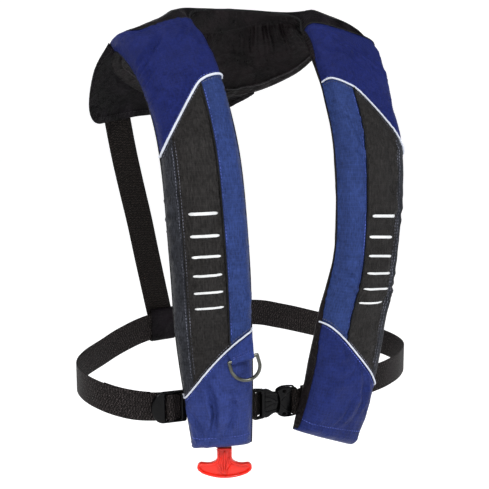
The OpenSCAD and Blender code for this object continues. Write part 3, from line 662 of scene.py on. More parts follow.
class Look:
    """A material being made. Its methods add nodes, and take numbers, colours or node outputs."""

    def __init__(self, name):
        self.material = bpy.data.materials.new(name)
        self.material.use_nodes = True
        self.tree = self.material.node_tree
        self.shader = next(n for n in self.tree.nodes if n.type == "BSDF_PRINCIPLED")
        self.at = self.new("TexCoord").outputs["Object"]

    def new(self, kind):
        return self.tree.nodes.new("ShaderNode" + kind)

    def put(self, socket, value):
        if isinstance(value, (int, float)):
            socket.default_value = value
        elif isinstance(value, tuple):
            socket.default_value = (*value, 1)
        else:
            self.tree.links.new(value, socket)

    def weave(self):
        """The cloth's own coordinates in metres: both, along it, and across it."""
        uv, split = self.new("UVMap"), self.new("SeparateXYZ")
        uv.uv_map = "weave"
        self.put(split.inputs[0], uv.outputs[0])
        return uv.outputs[0], split.outputs[0], split.outputs[1]

    def math(self, op, *values, clamp=False):
        n = self.new("Math")
        n.operation, n.use_clamp = op, clamp
        for socket, value in zip(n.inputs, values):
            self.put(socket, value)
        return n.outputs[0]

    def times(self, a, b):
        return self.math("MULTIPLY", a, b)

    def waves(self, x, mm):
        return self.math("SINE", self.times(x, 2 * math.pi / (mm * MM)))

    def noise(self, scale, detail, rough=0.6, at=None):
        n = self.new("TexNoise")
        for key, value in (("Scale", scale), ("Detail", detail), ("Roughness", rough),
                           ("Vector", self.at if at is None else at)):
            self.put(n.inputs[key], value)
        return n.outputs[0]

    def ramp(self, fac, dark, light, lo=0.3, hi=0.7):
        n = self.new("ValToRGB")
        for stop, place, color in zip(n.color_ramp.elements, (lo, hi), (dark, light)):
            stop.position, stop.color = place, (*color, 1)
        self.put(n.inputs[0], fac)
        return n.outputs[0]

    def mix(self, fac, a, b, mode="MIX"):
        n = self.new("Mix")
        n.data_type, n.blend_type = "RGBA", mode
        for i, value in ((0, fac), (6, a), (7, b)):
            self.put(n.inputs[i], value)
        return n.outputs[2]

    def tone(self, base, fac, low, high, lo, hi):
        """The colour multiplied by low to high as the factor goes from lo to hi."""
        return self.mix(1.0, base, self.ramp(fac, (low,) * 3, (high,) * 3, lo, hi), "MULTIPLY")

    def bump(self, height, strength, distance, below=None):
        n = self.new("Bump")
        self.put(n.inputs["Strength"], strength)
        self.put(n.inputs["Distance"], distance)
        self.put(n.inputs["Height"], height)
        if below is not None:
            self.put(n.inputs["Normal"], below)
        return n.outputs[0]

    def finish(self, base, relief, rough, spec=0.5, **more):
        for key, value in {"Base Color": base, "Normal": relief, "Roughness": rough,
                           "Specular IOR Level": spec, "Sheen Roughness": 0.4, **more}.items():
            self.put(self.shader.inputs[key], value)
        return self.material


def woven(name, color, thread=0.9, rib=4.2, rib_depth=0.5, spec=0.08, speckle=0.24):
    """Ripstop nylon: fine threads, a grid of raised ribs, and uneven dye. Sizes in mm."""
    look = Look(name)
    _, u, v = look.weave()
    gaps = [look.math("DIVIDE", look.math("PINGPONG", x, rib * MM / 2), 0.35 * MM) for x in (u, v)]
    lines = [look.math("SUBTRACT", 1.0, gap, clamp=True) for gap in gaps]
    ribs = look.math("MAXIMUM", lines[0], look.times(lines[1], 0.6))
    rows = look.new("CombineXYZ")            # the yarns' own streaks, longer along a row
    look.put(rows.inputs[0], look.times(u, 0.3))
    look.put(rows.inputs[1], v)
    grain = look.noise(560, 3, 0.7, rows.outputs[0])
    base = look.ramp(look.noise(14, 4), scaled(color, 0.88), scaled(color, 1.12), 0.32, 0.68)
    base = look.tone(base, grain, 1 - speckle, 1 + 1.6 * speckle, 0.36, 0.66)
    base = look.tone(base, look.noise(75, 4, 0.65), 0.86, 1.17, 0.34, 0.66)
    base = look.mix(look.times(ribs, 0.45), base, scaled(color, 2.2))
    fine = look.times(look.waves(u, thread), look.waves(v, thread))
    height = look.math("ADD", look.times(fine, 0.35), look.times(ribs, rib_depth * 2))
    soft = look.bump(look.noise(95, 5, 0.7), 0.85, 0.006)
    return look.finish(base, look.bump(height, 0.7, 0.0004, soft), 0.5, spec)


def satin(name, color, rough=0.38, spec=0.45):
    """Smooth lining or nylon with a fine weave and small creases, its colour in broad patches of painted
    highlight and shade.
    """
    look = Look(name)
    _, u, v = look.weave()
    fine = look.times(look.waves(u, 0.5), look.waves(v, 0.5))
    broad = look.noise(30, 5, 0.65)
    # broad patches painted from 0.3 to 2.6 times the colour: painted highlight and painted shade, not the
    # cloth's own colour
    base = look.ramp(broad, scaled(color, 0.3), scaled(color, 2.6), 0.36, 0.7)
    rumple = look.bump(look.noise(70, 4), 0.9, 0.006)
    gloss = look.math("MULTIPLY_ADD", broad, 0.2, rough - 0.1)
    return look.finish(base, look.bump(fine, 0.3, 0.0002, rumple), gloss, spec)


def webbing(name, color):
    """Polyester webbing: pebbled yarns in slanting rows, with worn tufts and loose fibres, and painted
    highlight on the raised yarns with painted shade between them.
    """
    look = Look(name)
    uv, u, v = look.weave()
    slant = look.math("ADD", u, look.times(look.math("PINGPONG", v, 3.1 * MM), 0.8))
    crossing = look.times(look.waves(slant, 3.6), look.waves(v, 4.2))
    pebble = look.math("MULTIPLY_ADD", crossing, 0.5, 0.5)
    fibre = look.noise(900, 2, 0.7)
    # the raised yarns painted up to five times lighter and the hollows between them darker: painted
    # highlight and painted shade
    base = look.ramp(pebble, scaled(color, 0.15), scaled(color, 5.0), 0.35, 0.9)
    base = look.mix(look.times(look.noise(20, 4), 0.5), base, color)
    base = look.mix(look.times(fibre, 0.25), base, scaled(color, 2.4))
    base = look.tone(base, look.noise(480, 2, at=uv), 0.25, 3.4, 0.4, 0.66)
    relief = look.bump(fibre, 0.25, 0.0002, look.bump(pebble, 1.0, 0.0011))
    return look.finish(base, relief, 0.5, 0.05)


def plastic(name, color, rough=0.35, spec=0.5, coat=0.0, blotch=0.12):
    """Moulded plastic: a fine grained skin, faint flow marks, and handling scuffs."""
    look = Look(name)
    base = look.ramp(look.noise(45, 3), scaled(color, 1 - blotch), scaled(color, 1 + blotch))
    scuff = look.noise(150, 5, 0.75)
    worn = look.times(look.math("SUBTRACT", scuff, 0.62, clamp=True), 1.2)
    base = look.mix(worn, base, tuple(min(1, 0.5 * v + 0.25) for v in color))
    skin = look.bump(look.noise(1560, 3), 0.3, 0.00008)
    gloss = look.math("MULTIPLY_ADD", scuff, 0.25, rough - 0.12)
    return look.finish(base, skin, gloss, spec, **{"Coat Weight": coat})


def metal(name, color, rough=0.35, metallic=1.0):
    look = Look(name)
    broad = look.noise(60, 4, 0.65)
    base = look.ramp(broad, scaled(color, 0.75), scaled(color, 1.25))
    scratches = look.bump(look.noise(900, 3, 0.7), 0.4, 0.00006)
    gloss = look.math("MULTIPLY_ADD", broad, 0.3, rough - 0.15)
    return look.finish(base, scratches, gloss, Metallic=metallic)


def beaded(name, color, rough=0.4):
    """Reflective tape: a pale skin of tiny glass beads over cord."""
    look = Look(name)
    beads = look.new("TexVoronoi")
    look.put(beads.inputs["Scale"], 2600)
    look.put(beads.inputs["Vector"], look.at)
    base = look.ramp(look.noise(30, 4), scaled(color, 0.82), scaled(color, 1.05))
    grime = look.math("SUBTRACT", look.noise(220, 3, 0.7), 0.5, clamp=True)
    base = look.mix(look.times(grime, 0.8), base, scaled(color, 0.55))
    skin = look.bump(beads.outputs["Distance"], 0.35, 0.0001)
    return look.finish(base, skin, rough, **{"Sheen Weight": 0.2, "Sheen Tint": (0.9, 0.93, 1.0)})


MAT = {
    "blue": woven("ripstop_blue", (0.0072, 0.0120, 0.080)),
    "strip": woven("ripstop_light_blue", (0.0178, 0.0335, 0.121), rib=3.4, rib_depth=0.8,
                   speckle=0.3),
    # the two lower panels are one blue fabric: the right one painted lighter as lit, the left one painted
    # darker as shaded
    "right_lower": woven("ripstop_lower_painted_lit", (0.0195, 0.0320, 0.134)),
    "left_lower": woven("ripstop_lower_painted_shade", (0.0096, 0.0166, 0.090)),
    "tab": woven("ripstop_tab", (0.0190, 0.0330, 0.145), thread=1.4),
    "black": woven("ripstop_black", (0.0147, 0.0137, 0.0135), rib=3.4, rib_depth=0.9, speckle=0.5),
    "side": woven("ripstop_side", (0.0165, 0.0176, 0.0220), rib=3.4, rib_depth=0.9, speckle=0.6),
    "lining": satin("satin_lining", (0.0036, 0.0025, 0.0029), 0.3, 0.085),
    "collar": satin("smooth_nylon", (0.0030, 0.0023, 0.0031), 0.38, 0.045),
    "web": webbing("webbing", (0.0056, 0.0047, 0.0047)),
    "strap": webbing("back_webbing", (0.0032, 0.0026, 0.0024)),
    "piping": beaded("reflective_piping", (0.50, 0.53, 0.61)),
    "print": beaded("reflective_bars", (0.60, 0.61, 0.62), 0.45),
    "cord_black": satin("black_cord", (0.003, 0.003, 0.0035), 0.5, 0.15),
    # lighter than the lining: a painted highlight on the collar's lower fold, and elsewhere the colour of a
    # dark thread
    "edge": satin("edge_fold", (0.008, 0.0065, 0.0078), 0.4, 0.2),
    "thread": satin("thread", (0.075, 0.078, 0.10), 0.6, 0.2),
    "thread_blue": satin("blue_thread", (0.050, 0.070, 0.27), 0.6, 0.2),
    "plastic": plastic("black_acetal", (0.0012, 0.0012, 0.0015), 0.2, 0.12, blotch=0.3),
    "red": plastic("red_moulding", (0.64, 0.016, 0.006), 0.3, 0.26, coat=0.12, blotch=0.3),
    "ring": metal("coated_ring", (0.075, 0.078, 0.068), 0.3, 0.85),
    "steel": metal("zinc_steel", (0.62, 0.62, 0.6), 0.3),
    "spring": metal("spring_wire", (0.5, 0.5, 0.52), 0.28),
    "yellow": plastic("yellow_cap", (0.78, 0.58, 0.03), 0.35),
    "white": plastic("white_moulding", (0.8, 0.8, 0.77), 0.4),
    "green": plastic("green_window", (0.04, 0.55, 0.12), 0.15),
    "orange": plastic("orange_lever", (0.82, 0.22, 0.02), 0.32),
    "bladder": woven("coated_bladder", (0.72, 0.46, 0.02), rib=2.2, spec=0.4),
    "red_cord": woven("braided_red", (0.6, 0.05, 0.04), thread=0.8, rib=1.6),
}

# ------------------------------------------------------------------ cover of the lobes
STEP = 1.9
TUCK = 0.010             # stations that a panel stops short of a seam
CLOTH_T = 1.3            # how far a panel's inner face lies under its outer one, mm
HEM = 3                  # the number of the line that seam_line gives at the lobe's end
CURL_FROM = 0.85         # share down a lower panel where it starts to curl in to the hem


def panel(name, side, k0, k1, p0, p1, look, node):
    """Panel of a lobe between two lines across it and two shares round it."""
    a0, a1 = float(a_of(p0)), float(a_of(p1))
    cols = max(4, int((a1 - a0) * GIRTH / STEP)) + 1
    span = float(seam_line(side, k1, 0.5) - seam_line(side, k0, 0.5)) * STATION_MM
    p = p_at(np.linspace(a0, a1, cols))[None]
    t = np.linspace(0, 1, int(span / STEP) + 1)[:, None]
    if k1 == HEM:
        curl = 1 - CURL_FROM
        t = np.where(t > CURL_FROM, CURL_FROM + curl * np.sin((t - CURL_FROM) / curl * np.pi / 2), t)
    lo = seam_line(side, k0, p) + (JOINT if k0 == 0 else TUCK)
    hi = seam_line(side, k1, p) - (0 if k1 == HEM else TUCK)
    s = lo + (hi - lo) * t
    p = np.broadcast_to(p, s.shape)
    uv = np.stack([s * STATION_MM, a_of(p) * GIRTH], -1)
    ob = cloth(name, cover(side, s, p), under=cover(side, s, p, -CLOTH_T), uv=uv)
    add(ob, look, node)


def across_row(side, k, off, lift, ends=(0.03, 0.97), count=160):
    """Points across a lobe, beside one of its seams."""
    p = p_at(np.linspace(*ends, count))
    return cover(side, seam_line(side, k, p) + off, p, lift)


def down_row(side, p, lift):
    """Points down a lobe between its slanting seams, at share p."""
    top, low = float(upper_seam(side, p)), float(lower_seam(side, p))
    s = top + (low - top) * np.linspace(0.05, 0.95, 220)
    return cover(side, s, np.full_like(s, p), lift)


def binding(name, points, radius, look="cord_black"):
    return add(tube(name, spaced(points, 2.0), radius, 10), look)


def edge_line(u, p):
    """The seam between the cover's front, at share p, and its wearer's side."""
    return (front(u, p) + rear(u, 1 - p)) / 2


SEAM_HALF = 0.0035       # share round the section on each side of the piped seam
PANELS = (
    ("shoulder", 0, 1, 0, 1, "blue"),
    ("inner", 1, 2, 0, SEAM_P - SEAM_HALF, "strip"),
    ("outer", 1, 2, SEAM_P + SEAM_HALF, GUSSET_P - 0.001, "black"),
    ("side", 1, 2, GUSSET_P + 0.001, 1, "side"),
)
UPPER_CORD = {RIGHT: 1.6, LEFT: 1.25}
for side, word in SIDES:
    for name, k0, k1, p0, p1, look in (*PANELS, ("lower", 2, HEM, 0, 1, f"{word}_lower")):
        panel(f"{word}_{name}_cloth", side, k0, k1, p0, p1, look, f"{word}_{name}_panel")

    # piping in the seams across the lobe, and the cord between the strip and the black panel
    for k, radius, node in ((1, UPPER_CORD[side], "upper"), (2, 1.2, "lower")):
        path = across_row(side, k, 0, radius * 0.45 + 0.9, (0.03, 0.988), 120)
        add(tube(f"{word}_{node}_cord", spaced(path, 1.5), radius), "piping", f"{word}_{node}_piping")
    s = np.linspace(float(upper_seam(side, SEAM_P)) + 0.03, float(lower_seam(side, SEAM_P)) - 0.03, 200)
    path = spaced(cover(side, s, np.full_like(s, SEAM_P), 1.1), 1.5)
    add(tube(f"{word}_strip_cord", path, 1.15, 10), "cord_black", f"{word}_seam_piping",
        slot="black_piping")

    # wearer's side of the lobe
    u = lobe_u(side, np.linspace(JOINT, LOBE_SPAN, 190))[:, None]
    q = p_at(np.linspace(0, 1, 46))[None]
    here = rear(u, q)
    high = (1.2 * noise(here, 34, 7) + 0.5 * noise(here, 12, 9)) * np.clip(np.sin(np.pi * q) * 3, 0, 1)
    ob = cloth(f"{word}_lining_cloth", rear(u, q, high), under=rear(u, q, high - CLOTH_T))
    add(ob, "lining", f"{word}_lining")

# ------------------------------------------------------------------ bindings and stitching
for side, word in SIDES:
    s = np.linspace(0.02, LOBE_SPAN - 0.02, 260)
    for p, label in ((0, "neck"), (1, "outer")):
        binding(f"{word}_{label}_welt", edge_line(lobe_u(side, s), p), 1.5)
    rows = [across_row(side, 1, -0.055, 0.12), across_row(side, 2, 0.05, 0.12)]
    add(stitches(f"{word}_seam_stitches", rows), "thread_blue")
    rows = [across_row(side, 1, 0.055, 0.12), across_row(side, 2, -0.05, 0.12)]
    add(stitches(f"{word}_panel_stitches", rows), "thread")
    rows = [down_row(side, p_at(a_of(GUSSET_P) + da), 0.14) for da in (-0.018, 0.018)]
    add(stitches(f"{word}_gusset_stitches", rows, radius=0.46), "thread", slot="side_fabric")
    rows = [down_row(side, p_at(a_of(SEAM_P) - 0.02), 0.12)]
    add(stitches(f"{word}_strip_stitches", rows), "thread_blue", slot="light_blue_fabric")
    rows = [across_row(side, HEM, -HEM_ROW / STATION_MM, 0.12)]
    add(stitches(f"{word}_hem_stitches", rows), "thread_blue")

# where the lining shows round the left lobe's neck edge, at the shoulder and at the bottom
s = np.linspace(0.1, LOBE_SPAN - 0.05, 330)[:, None]
wide = 9 * bell(s - 0.6, 0.6) + 9 * ease((s - 4.1) / 1.6) + 1.2
t = np.linspace(0, 1, 18)[None]
p = p_at(t * wide / GIRTH)
s = np.broadcast_to(s, p.shape)
rim = 0.55 * np.sqrt(np.clip(1 - t, 0.02, 1))
add(cloth("left_neck_edge", cover(LEFT, s, p, rim + 0.75), under=cover(LEFT, s, p, rim - 0.4)), "lining")

# plain reflective bars on the black panels
BAR_SHARE = {RIGHT: (0.475, 0.565), LEFT: (0.475, 0.58)}
BAR_FROM = {RIGHT: 3.52, LEFT: 3.62}
BAR_COUNT, BAR_PITCH, BAR_LONG = 6, 17.0, 2.3
for side, word in SIDES:
    a = np.linspace(*a_of(BAR_SHARE[side]), 22)[None]
    round_off = 1 - 0.5 * np.clip(np.abs(np.linspace(-1, 1, 22)) - 0.86, 0, 1)[None] / 0.14
    for i in range(BAR_COUNT):
        s = BAR_FROM[side] + i * BAR_PITCH / STATION_MM
        s = s + np.linspace(-0.5, 0.5, 7)[:, None] * BAR_LONG / STATION_MM * round_off
        p = np.broadcast_to(p_at(a), s.shape)
        add(cloth(f"{word}_bar_{i}", cover(side, s, p, 0.6), under=cover(side, s, p, -0.2)), "print")

# ------------------------------------------------------------------ collar
COLLAR_FROM, COLLAR_TO = SHOULDER_U[RIGHT] + JOINT, SHOULDER_U[LEFT] - JOINT
_line = rear(np.linspace(COLLAR_FROM, COLLAR_TO, 400), 0.55)


def collar_mm(u):
    """Distance round the collar at station u."""
    return np.interp(u, np.linspace(COLLAR_FROM, COLLAR_TO, 400), run_of(_line))


t = np.linspace(0, 1, 230)[:, None]
p = p_at(np.linspace(0, 1, 72))[None]
start, end = (lobe_u(side, collar_seam(side, p) - JOINT) for side in (RIGHT, LEFT))
u = start + (end - start) * t
plain = front(u, p)
edge = np.minimum(a_of(p), 1 - a_of(p)) * GIRTH
high = 1.6 * noise(plain, (38, 60, 38), 51) + 0.7 * noise(plain, 16, 52)
high = high + 0.5 * np.sin(collar_mm(u) * 2 * np.pi / 7.5 + 2 * noise(plain, 14, 53)) * bell(edge, 9)
high = high * np.clip(edge / 6, 0, 1) - 1.2 * bell(u - start, 0.05) - 1.2 * bell(end - u, 0.05)
high = shallow(high + blown(u, a_of(p) + 0 * u))
ob = cloth("collar_outer_cloth", front(u, p, high), under=front(u, p, high - CLOTH_T))
add(ob, "collar", "collar_cover")

# The gather seam across the inside of the collar: station, and share across there
GATHER = [(7.0, -0.35), (8.6, -0.45), (9.4, -0.5), (9.88, -0.556), (10.22, -0.652), (10.52, -0.732),
          (11.08, -0.75), (11.5, -0.694), (12.3, -0.55), (13.0, -0.4)]
GATHER_U, GATHER_F = np.array(GATHER).T
BAND_SEAMS = (8.3, 9.88, 11.25, 12.5)        # stations of the seams in the band above the gathers
LOWER_EDGE = 0.78                            # share across of the fold below them


def share_q(f):
    """Share round the rear section from the share across it: 1 outer edge, -1 neck edge."""
    return np.arccos(np.clip(np.sign(f) * f * f, -1, 1)) / np.pi


def collar_relief(u, f):
    """Height in mm of the gathered lining over the plain CAD surface."""
    x = collar_mm(u)
    half = section(u)[3][..., 0]
    d = (f - np.interp(u, GATHER_U, GATHER_F)) * half        # mm below the gather seam
    at = np.stack([x + 0 * d, d, 0 * d], -1)
    below = np.clip(d / 2, 0, 1)
    warp = 3.2 * noise(at, (30, 34, 9), 61) + 0.10 * d * noise(at, (26, 80, 9), 62)
    turn = 2 * np.pi * (x + warp)
    pleat = (0.6 * np.cos(turn / 8.6) + 0.4 * np.cos(turn / 13.9 + 1.0)) * np.exp(-np.clip(d, 0, None) / 44)
    centre = 0.35 + 0.65 * bell(u - 10.6, 1.6)
    high = below * centre * (3.8 * pleat + 4.2 * noise(at, (17, 62, 9), 63))
    high = high + 1.4 * below * noise(at, (9, 22, 9), 66) + 1.6 * noise(at, (40, 40, 9), 64)
    high = high - 1.6 * bell(d, 2.0) - 0.3 * bell(d, 6)
    for us in BAND_SEAMS:
        high = high - 0.9 * bell((u - us) * 60, 1.6) * np.clip(-d / 3, 0, 1)
    low = (f - LOWER_EDGE) * half
    high = high + 1.1 * bell(low, 2.2) - 0.9 * np.clip(low / 3, 0, 1)
    rim = np.clip((1 - np.abs(f)) / 0.05, 0, 1)
    return shallow(high, 2.0) * rim


def on_collar(u, f, lift=0.0):
    u, f = np.broadcast_arrays(np.asarray(u, float), np.asarray(f, float))
    return rear(u, share_q(f), collar_relief(u, f) + lift)


u = np.linspace(COLLAR_FROM, COLLAR_TO, 330)[:, None]
f = np.cos(np.linspace(0, np.pi, 92))[None]
ob = cloth("collar_inner_cloth", on_collar(u, f), under=on_collar(u, f, -1.2))
add(ob, "lining", "collar_lining")

us = np.linspace(7.15, 12.85, 240)
rows = [on_collar(us, np.interp(us, GATHER_U, GATHER_F) - 0.035, 0.1)]
for u in BAND_SEAMS:
    top = float(np.interp(u, GATHER_U, GATHER_F))
    rows.append(on_collar(u, np.linspace(-0.985, top - 0.03, 40), 0.1))
add(stitches("collar_stitches", rows), "edge", slot="lining_fabric")
# the fold is drawn in the edge colour, lighter than the lining: a painted highlight along it
binding("collar_lower_fold", on_collar(np.linspace(7.4, 12.6, 230), LOWER_EDGE, 0.5), 1.0, "edge")
for p, label in ((0, "neck"), (1, "outer")):
    us = np.linspace(COLLAR_FROM, COLLAR_TO, 260)
    binding(f"collar_{label}_welt", edge_line(us, p), 1.7)
for side, word in SIDES:
    p = p_at(np.linspace(0.0, 1.0, 90))
    binding(f"{word}_collar_joint", front(lobe_u(side, collar_seam(side, p)), p, -0.3), 1.1)

# ------------------------------------------------------------------ yoke over the shoulder blades
YOKE_HEM = [
    (-189, 6, -8), (-206, 22, -46), (-208, 40, -90), (-199, 56, -113), (-174, 82, -115),
    (-140, 102, -112), (-98, 118, -110), (-44, 130, -109), (8, 134, -106), (28, 130, -98),
    (41, 125, -91), (50, 120, -84),
]
YOKE_U = (7.1, 10.3)     # stations that its upper edge is sewn to
YOKE_HEM_W = 9           # width of its turned hem, mm
c = np.linspace(0, len(YOKE_HEM) - 1, 200)[None]
r = np.linspace(0, 1, 60)[:, None]
top = rear(YOKE_U[0] + (YOKE_U[1] - YOKE_U[0]) * c[0] / (len(YOKE_HEM) - 1), 0.0, 0.9)
hem = smooth(YOKE_HEM, c[0])
base = top[None] + (hem - top)[None] * r[..., None]
n = grid_normals(base)
if n[..., 1].mean() < 0:
    n = -n
drop = np.linalg.norm(hem - top, axis=1)[None]
to_hem = (1 - r) * drop
ripple = np.sin(run_of(hem)[None] * 2 * np.pi / 8 + 2 * noise(base, 14, 83))
fold = 1.7 * noise(base, (46, 46, 30), 81) + 0.8 * noise(base, (18, 18, 14), 82)
fold = fold + 1.5 * np.sin(r * np.pi)        # it bellies out a little
fold = (fold + 0.5 * ripple * bell(to_hem - YOKE_HEM_W, 7)) * np.clip(r * 6, 0, 1)
thick = 1.4 + 1.0 / (1 + np.exp((to_hem - YOKE_HEM_W) / 0.6))
outer = base + n * fold[..., None]
inner = outer - n * thick[..., None]
ob = add(cloth("yoke_cloth", outer, under=inner), "collar", "back_yoke")
row = np.abs(to_hem - YOKE_HEM_W + 1).argmin(0)
across = np.arange(len(row))
rows = [face[row, across] + n[-8] * lift for face, lift in ((outer, 0.15), (inner, -0.15))]
add(stitches("yoke_hem_stitches", rows), "edge")

# ------------------------------------------------------------------ webbing
BELT_Z, WEB_W, WEB_T = -470, 38, 1.8
WAIST = [
    (-116, -80, BELT_Z), (-166, -80, -467), (-200, -77, -459.5), (-226, -58, -452),
    (-241, -24, -447), (-239, 16, -445), (-221, 50, -441), (-190, 80, -436),
    (-155, 103, -427), (-110, 122, -418), (-40, 136, -412), (52, 140, -413),
    (101, 139, -423), (153, 130, -437), (203, 104, -449), (231, 64, -454.5),
    (238, 22, -456), (230, -15, -456.5), (204, -52, -456.5), (172, -78, -458),
    (142, -89, -461),
]
FRONT_STRAP = [(-112, -80, BELT_Z), (-84, -85, BELT_Z - 0.8), (-60, -93, BELT_Z - 2),
               (-37, -101, BELT_Z - 3)]
LEFT_END = [(141, -89.3, -461), (112, -93, -464.5), (72, -98.6, BELT_Z - 0.5),
            (35, -101, BELT_Z - 3)]
BACK_STRAP = [(-158, 103, -100), (-145, 105, -170), (-126, 112, -250), (-108, 121, -330),
              (-94.5, 128, -388.5), (-92.5, 128.4, -397)]
UP = (0, 0, 1)


def strap(name, path, look, *nodes, up=UP, width=WEB_W, thick=WEB_T, wave=0.0, body=JACKET):
    return add(band(name, path, up, width, thick, wave=wave), look, *nodes, body=body)


strap("belt_webbing", curve(WAIST, 500, 4), "web", "waist_belt", wave=0.7)
IN_BUCKLE = [(-33, -102.2, BELT_Z - 3), (-30.5, -102.6, BELT_Z - 3)]
path = np.concatenate([curve(FRONT_STRAP, 120, 3), IN_BUCKLE])
strap("front_webbing", path, "strap", "belt_front_strap")
BEHIND_BELT = [(157, -81.4, -459.4), (153, -83.0, -459.8), (149, -84.8, -460.2), (145, -86.9, -460.7)]
path = np.concatenate([BEHIND_BELT, curve(LEFT_END, 160, 3)])
ob = band("left_webbing", path, UP, WEB_W, WEB_T, wave=0.3)
ob.data.materials.append(MAT["strap"])
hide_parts("belt_left_end")
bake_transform(ob)

# the belt's tail, doubled back on the inside
back = smooth(WAIST, np.linspace(1.05, 2.9, 60)) + [0.9, 2.1, 0.3]
strap("belt_tail", spaced(back, 4), "web", width=WEB_W - 0.6, thick=1.5)
strap("back_webbing", curve(BACK_STRAP, 300, 4), "strap", "back_strap", up=(1, 0.12, 0.2), wave=0.8)


def arc(cx, cz, r, a0, a1, n=10):
    angles = np.radians(a0 + (a1 - a0) * np.arange(n + 1) / n)
    return list(zip(cx + r * np.cos(angles), cz + r * np.sin(angles)))


def rounded(x0, x1, z0, z1, r, n=5):
    """Rectangle with rounded corners, from its upper right one."""
    corners = ((x1 - r, z1 - r), (x0 + r, z1 - r), (x0 + r, z0 + r), (x1 - r, z0 + r))
    return [pt for i, (x, z) in enumerate(corners) for pt in arc(x, z, r, 90 * i, 90 * i + 90, n)]


def fabric_loop(name, at, turn, width, deep, high, thick, *nodes):
    """Loop of webbing round a rectangle of the given outer depth and height."""
    y, z = (deep - thick) / 2, (high - thick) / 2
    ring = np.array(rounded(-y, y, -z, z, 2.4, 6))
    ring = np.concatenate([ring, ring[:1]])
    run = run_of(ring)
    ring = point_at(ring, run, np.linspace(0, run[-1], int(run[-1] / 2.2), endpoint=False))
    path = turned(np.insert(ring, 0, 0, axis=1), turn, at)
    across = turned([(1, 0, 0)], turn, (0, 0, 0))[0]
    add(band(name, path, across, width, thick, cols=12, closed=True), "collar", *nodes, slot="webbing")


fabric_loop("right_keeper_loop", (-82, -90.4, BELT_Z - 1), -19, 25, 16.4, 47.4, 1.5, "right_belt_keeper")
fabric_loop("left_keeper_loop", (88, -95.8, BELT_Z + 2), 8, 25, 8.2, 47.4, 1.5, "left_belt_keeper")
fabric_loop("back_loop", (-89, 128, -415.5), 12, 38, 11.6, 46.8, 1.9, "strap_loop")

# ------------------------------------------------------------------ adjuster
LOCK_AT = np.array([-141, -84.2, BELT_Z + 1])
LOCK_NOSE, LOCK_SQUASH = -8, 0.78            # where its rounded nose starts, and how flat that is

outline = arc(19.5, 17.5, 3.5, 0, 90, 5) + arc(LOCK_NOSE, 0, 21, 90, 270, 26)
outline += arc(19.5, -17.5, 3.5, 270, 360, 5)
outline = [(max(x, LOCK_NOSE) + LOCK_SQUASH * min(x - LOCK_NOSE, 0), z) for x, z in outline]
windows = [rounded(-6, -0.6, -17.8, 17.8, 1.6), rounded(5.4, 15, -17.8, 17.8, 1.6)]
ob = plate("adjuster_frame", outline, 6.2, 2.0, windows, LOCK_AT, steps=5)
add(ob, "plastic", "ladder_lock", body="lock")


def lock_rod(name, x, y, half, count, radius, sides):
    """Upright round rod on the lock."""
    path = np.array([(x, y, z) for z in np.linspace(-half, half, count)]) + LOCK_AT
    add(tube(name, path, radius, sides), "plastic", body="lock")


for i, x in enumerate((-19.0, -16.2, -13.4)):
    lock_rod(f"adjuster_grip_{i}", x, -2.3, 8.1 + 0.72 * i, 12, 0.55, 8)
lock_rod("adjuster_bar", 2.4, -1.3, 18.2, 16, 2.1, 14)
WRAP = [(15.2, 2.0, 0), (10.6, 0.2, 0), (5.6, -3.1, 0), (2.4, -4.4, 0), (-0.8, -3.2, 0),
        (-3.0, -0.4, 0), (-3.6, 2.0, 0)]
strap("adjuster_webbing", curve(WRAP + LOCK_AT, 60, 1.2), "web", width=34.4, thick=1.5, body="lock")

# ------------------------------------------------------------------ side-release buckle
BUCKLE_AT = np.array([-4, -101, BELT_Z - 3])
HALVES = ((-1, "lower"), (1, "upper"))


def buckle_plate(name, outer, thick, bevel, *nodes, holes=(), y=0.0, body=JACKET, steps=4):
    ob = plate(name, outer, thick, bevel, holes, BUCKLE_AT + [0, y, 0], steps=steps)
    return add(ob, "plastic", *nodes, body=body)


def mirrored(line):
    """The line, and its mirror image below it, as one outline."""
    return line + [(x, -z) for x, z in line[::-1]]


frame_line = mirrored(arc(-16.5, 15.5, 4.5, 20, 90, 5) + arc(-25.5, 15.5, 5.5, 90, 180, 6))
buckle_plate("buckle_left_frame", frame_line, 8.4, 2.2, "buckle_male",
             holes=[rounded(-27.0, -18.2, -17.6, 17.6, 3.0)])
ARM = [(-14.5, 19.5), (-9, 19.3), (-4.5, 17), (-1, 14.9), (3, 14.2), (7.5, 14.6), (12, 13.8),
       (15.5, 11), (17, 8.4), (15, 6.6), (10, 8.2), (5, 9.0), (0, 9.2), (-5, 10.4), (-10, 11),
       (-14.5, 10.4)]
RIB = [(-14, 9.5), (-9, 9.0), (1.5, 4.2), (3.5, 1.2), (0, 0.6), (-9, 4.6), (-14, 5.0)]
for k, label in HALVES:
    arm = smooth([(x, k * z) for x, z in [*ARM, ARM[0]]], np.linspace(0, len(ARM), 70, endpoint=False))
    buckle_plate(f"buckle_arm_{label}", arm.tolist(), 4.6, 1.2, *(["buckle_arms"] if k > 0 else []))
    buckle_plate(f"buckle_rib_{label}", [(x, k * z) for x, z in RIB], 4.2, 0.9)
WEB_LINE = [(-15, 19), (-10, 18.6), (-5, 16.2), (-1.5, 13.8), (3, 13.0), (8, 13.4)]
buckle_plate("buckle_web", mirrored(WEB_LINE), 2.6, 0.6)
buckle_plate("buckle_tongue", rounded(-14.5, 18, -2.6, 2.6, 1.8), 3.6, 0.9)

